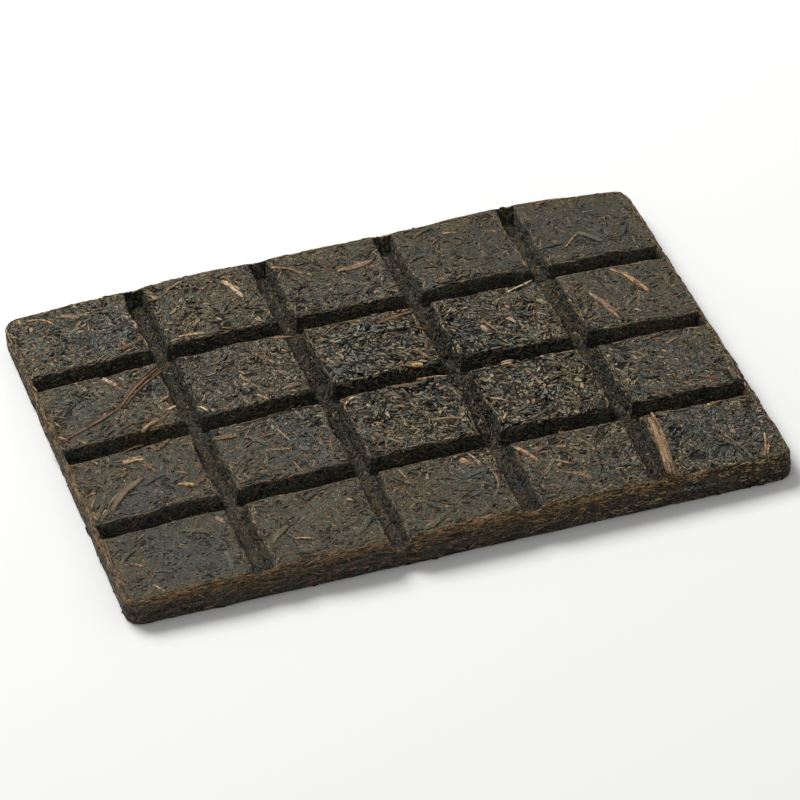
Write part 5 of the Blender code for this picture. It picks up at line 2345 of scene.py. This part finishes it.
def groove_layers() -> tuple[ShredLayer, ...]:
    """Layers of shreds in the grooves.

    Returns:
        The layers.
    """
    wall_leaf = LeafFinish(
        "wall_leaf",
        cell_share=0.15,
        specks=0.1,
        brightness=1.75,
        rough_gain=1.0,
        smooth_power=0.35,
        rough_power=0.5,
        crack_powers=(0.35, 0.5),
        specular=0.05,
        roughness=0.7,
    )
    groove_leaf = LeafFinish(
        "groove_leaf",
        cell_share=0.3,
        specks=0.25,
        brightness=1.45,
        rough_gain=0.9,
        smooth_power=0.3,
        rough_power=0.45,
        crack_powers=(0.3, 0.5),
        specular=0.06,
        roughness=0.65,
    )
    walls = {"spread": 1.2, "sink": 0.15 * MM, **FLAT}
    return (
        ShredLayer(
            "wall_leaf",
            (make_bed(WALL, (1.5, 5.0), (0.5, 1.2), 1.3, WALL_LEAF, **walls),),
            wall_leaf,
            seed=9,
        ),
        ShredLayer(
            "groove_leaf",
            (make_bed(FLOOR, (2.5, 7.0), (0.5, 1.4), 1.8, GROOVE_LEAF, spread=0.8, **FLAT),),
            groove_leaf,
            seed=3,
        ),
    )


def outer_layers() -> tuple[ShredLayer, ...]:
    """Brown shreds all over, and the layers on the sides, the edge and the base.

    Returns:
        The layers.
    """
    side_leaf = LeafFinish(
        "side_leaf",
        brightness=1.55,
        rough_gain=1.0,
        cells=(0.5, 2.0),
        cell_share=0.5,
        specks=0.2,
        smooth_power=0.7,
        rough_power=0.9,
        crack_powers=(0.7, 0.9),
        calm_cells=1.0,
    )
    sides = {"spread": 0.25, "most_turn": 0.6, **FLAT}
    edges = {"spread": 0.5, "most_turn": 0.6, **FLAT}
    flush = {"lift": span(-0.15, 0.0), "rough_lift": 0.0, "rough_roll": 0.0}
    return (
        ShredLayer(
            "brown_shreds",
            (
                make_bed(TOP, (1.2, 4.5), (0.3, 0.8), 0.085, BROWN_SHREDS),
                make_bed(BROW, (1.5, 5.0), (0.3, 0.6), 0.20, BROWN_SHREDS, spread=0.5),
                make_bed(WALL + FLOOR, (1.2, 4.0), (0.25, 0.5), 0.03, BROWN_SHREDS, spread=0.9, **FLAT),
                make_bed(SIDE, (1.0, 4.0), (0.25, 0.5), 0.08, SIDE_SPECKS, spread=0.7),
            ),
            LeafFinish("brown_shredded_leaf", cell_share=0.3, specular=0.25),
            "brown_leaf",
            seed=4,
        ),
        ShredLayer(
            "side_shreds",
            (make_bed(SIDE + RIM, (2.0, 7.0), (0.4, 1.1), 1.7, SIDE_LEAF, **sides),),
            side_leaf,
            seed=5,
            painted_light_slivers=(ShadowAndHighlightSlivers(share=0.6, smooth_share=0.5, near_side=0.5),),
        ),
        ShredLayer(
            "edge_fibres",
            (make_bed(RIM, (1.5, 5.0), (0.3, 0.7), 2.0, EDGE_LEAF, **edges),),
            LeafFinish("edge_leaf", cell_share=0.35, specular=0.25),
            "brown_leaf",
            seed=6,
        ),
        ShredLayer(
            "base_shreds",
            (make_bed(BASE, (4.0, 11.0), (1.2, 3.2), 1.5, PLATE_LEAF, **flush),),
            LeafFinish("shredded_leaf"),
            seed=8,
        ),
    )


def main() -> None:
    """Builds the brick's looks and the studio."""
    logging.basicConfig(level=logging.INFO, format="%(message)s")
    form = BrickForm()
    Studio().build()
    PressedCore(form, CoreFinish()).build()
    guide = Guide(form)
    Stems(form).build()
    # The cracks piece takes every layer's slivers: black painted shadow and lighter painted highlight.
    cracks = Lids()
    for layer in top_layers() + groove_layers() + outer_layers():
        layer.build(guide, cracks)
    sliver_finish = LeafFinish("sliver_light_and_shade", roughness=0.8)
    hand_over(cracks.piece("cracks", True), sliver_finish.build())


if __name__ == "__main__":
    main()
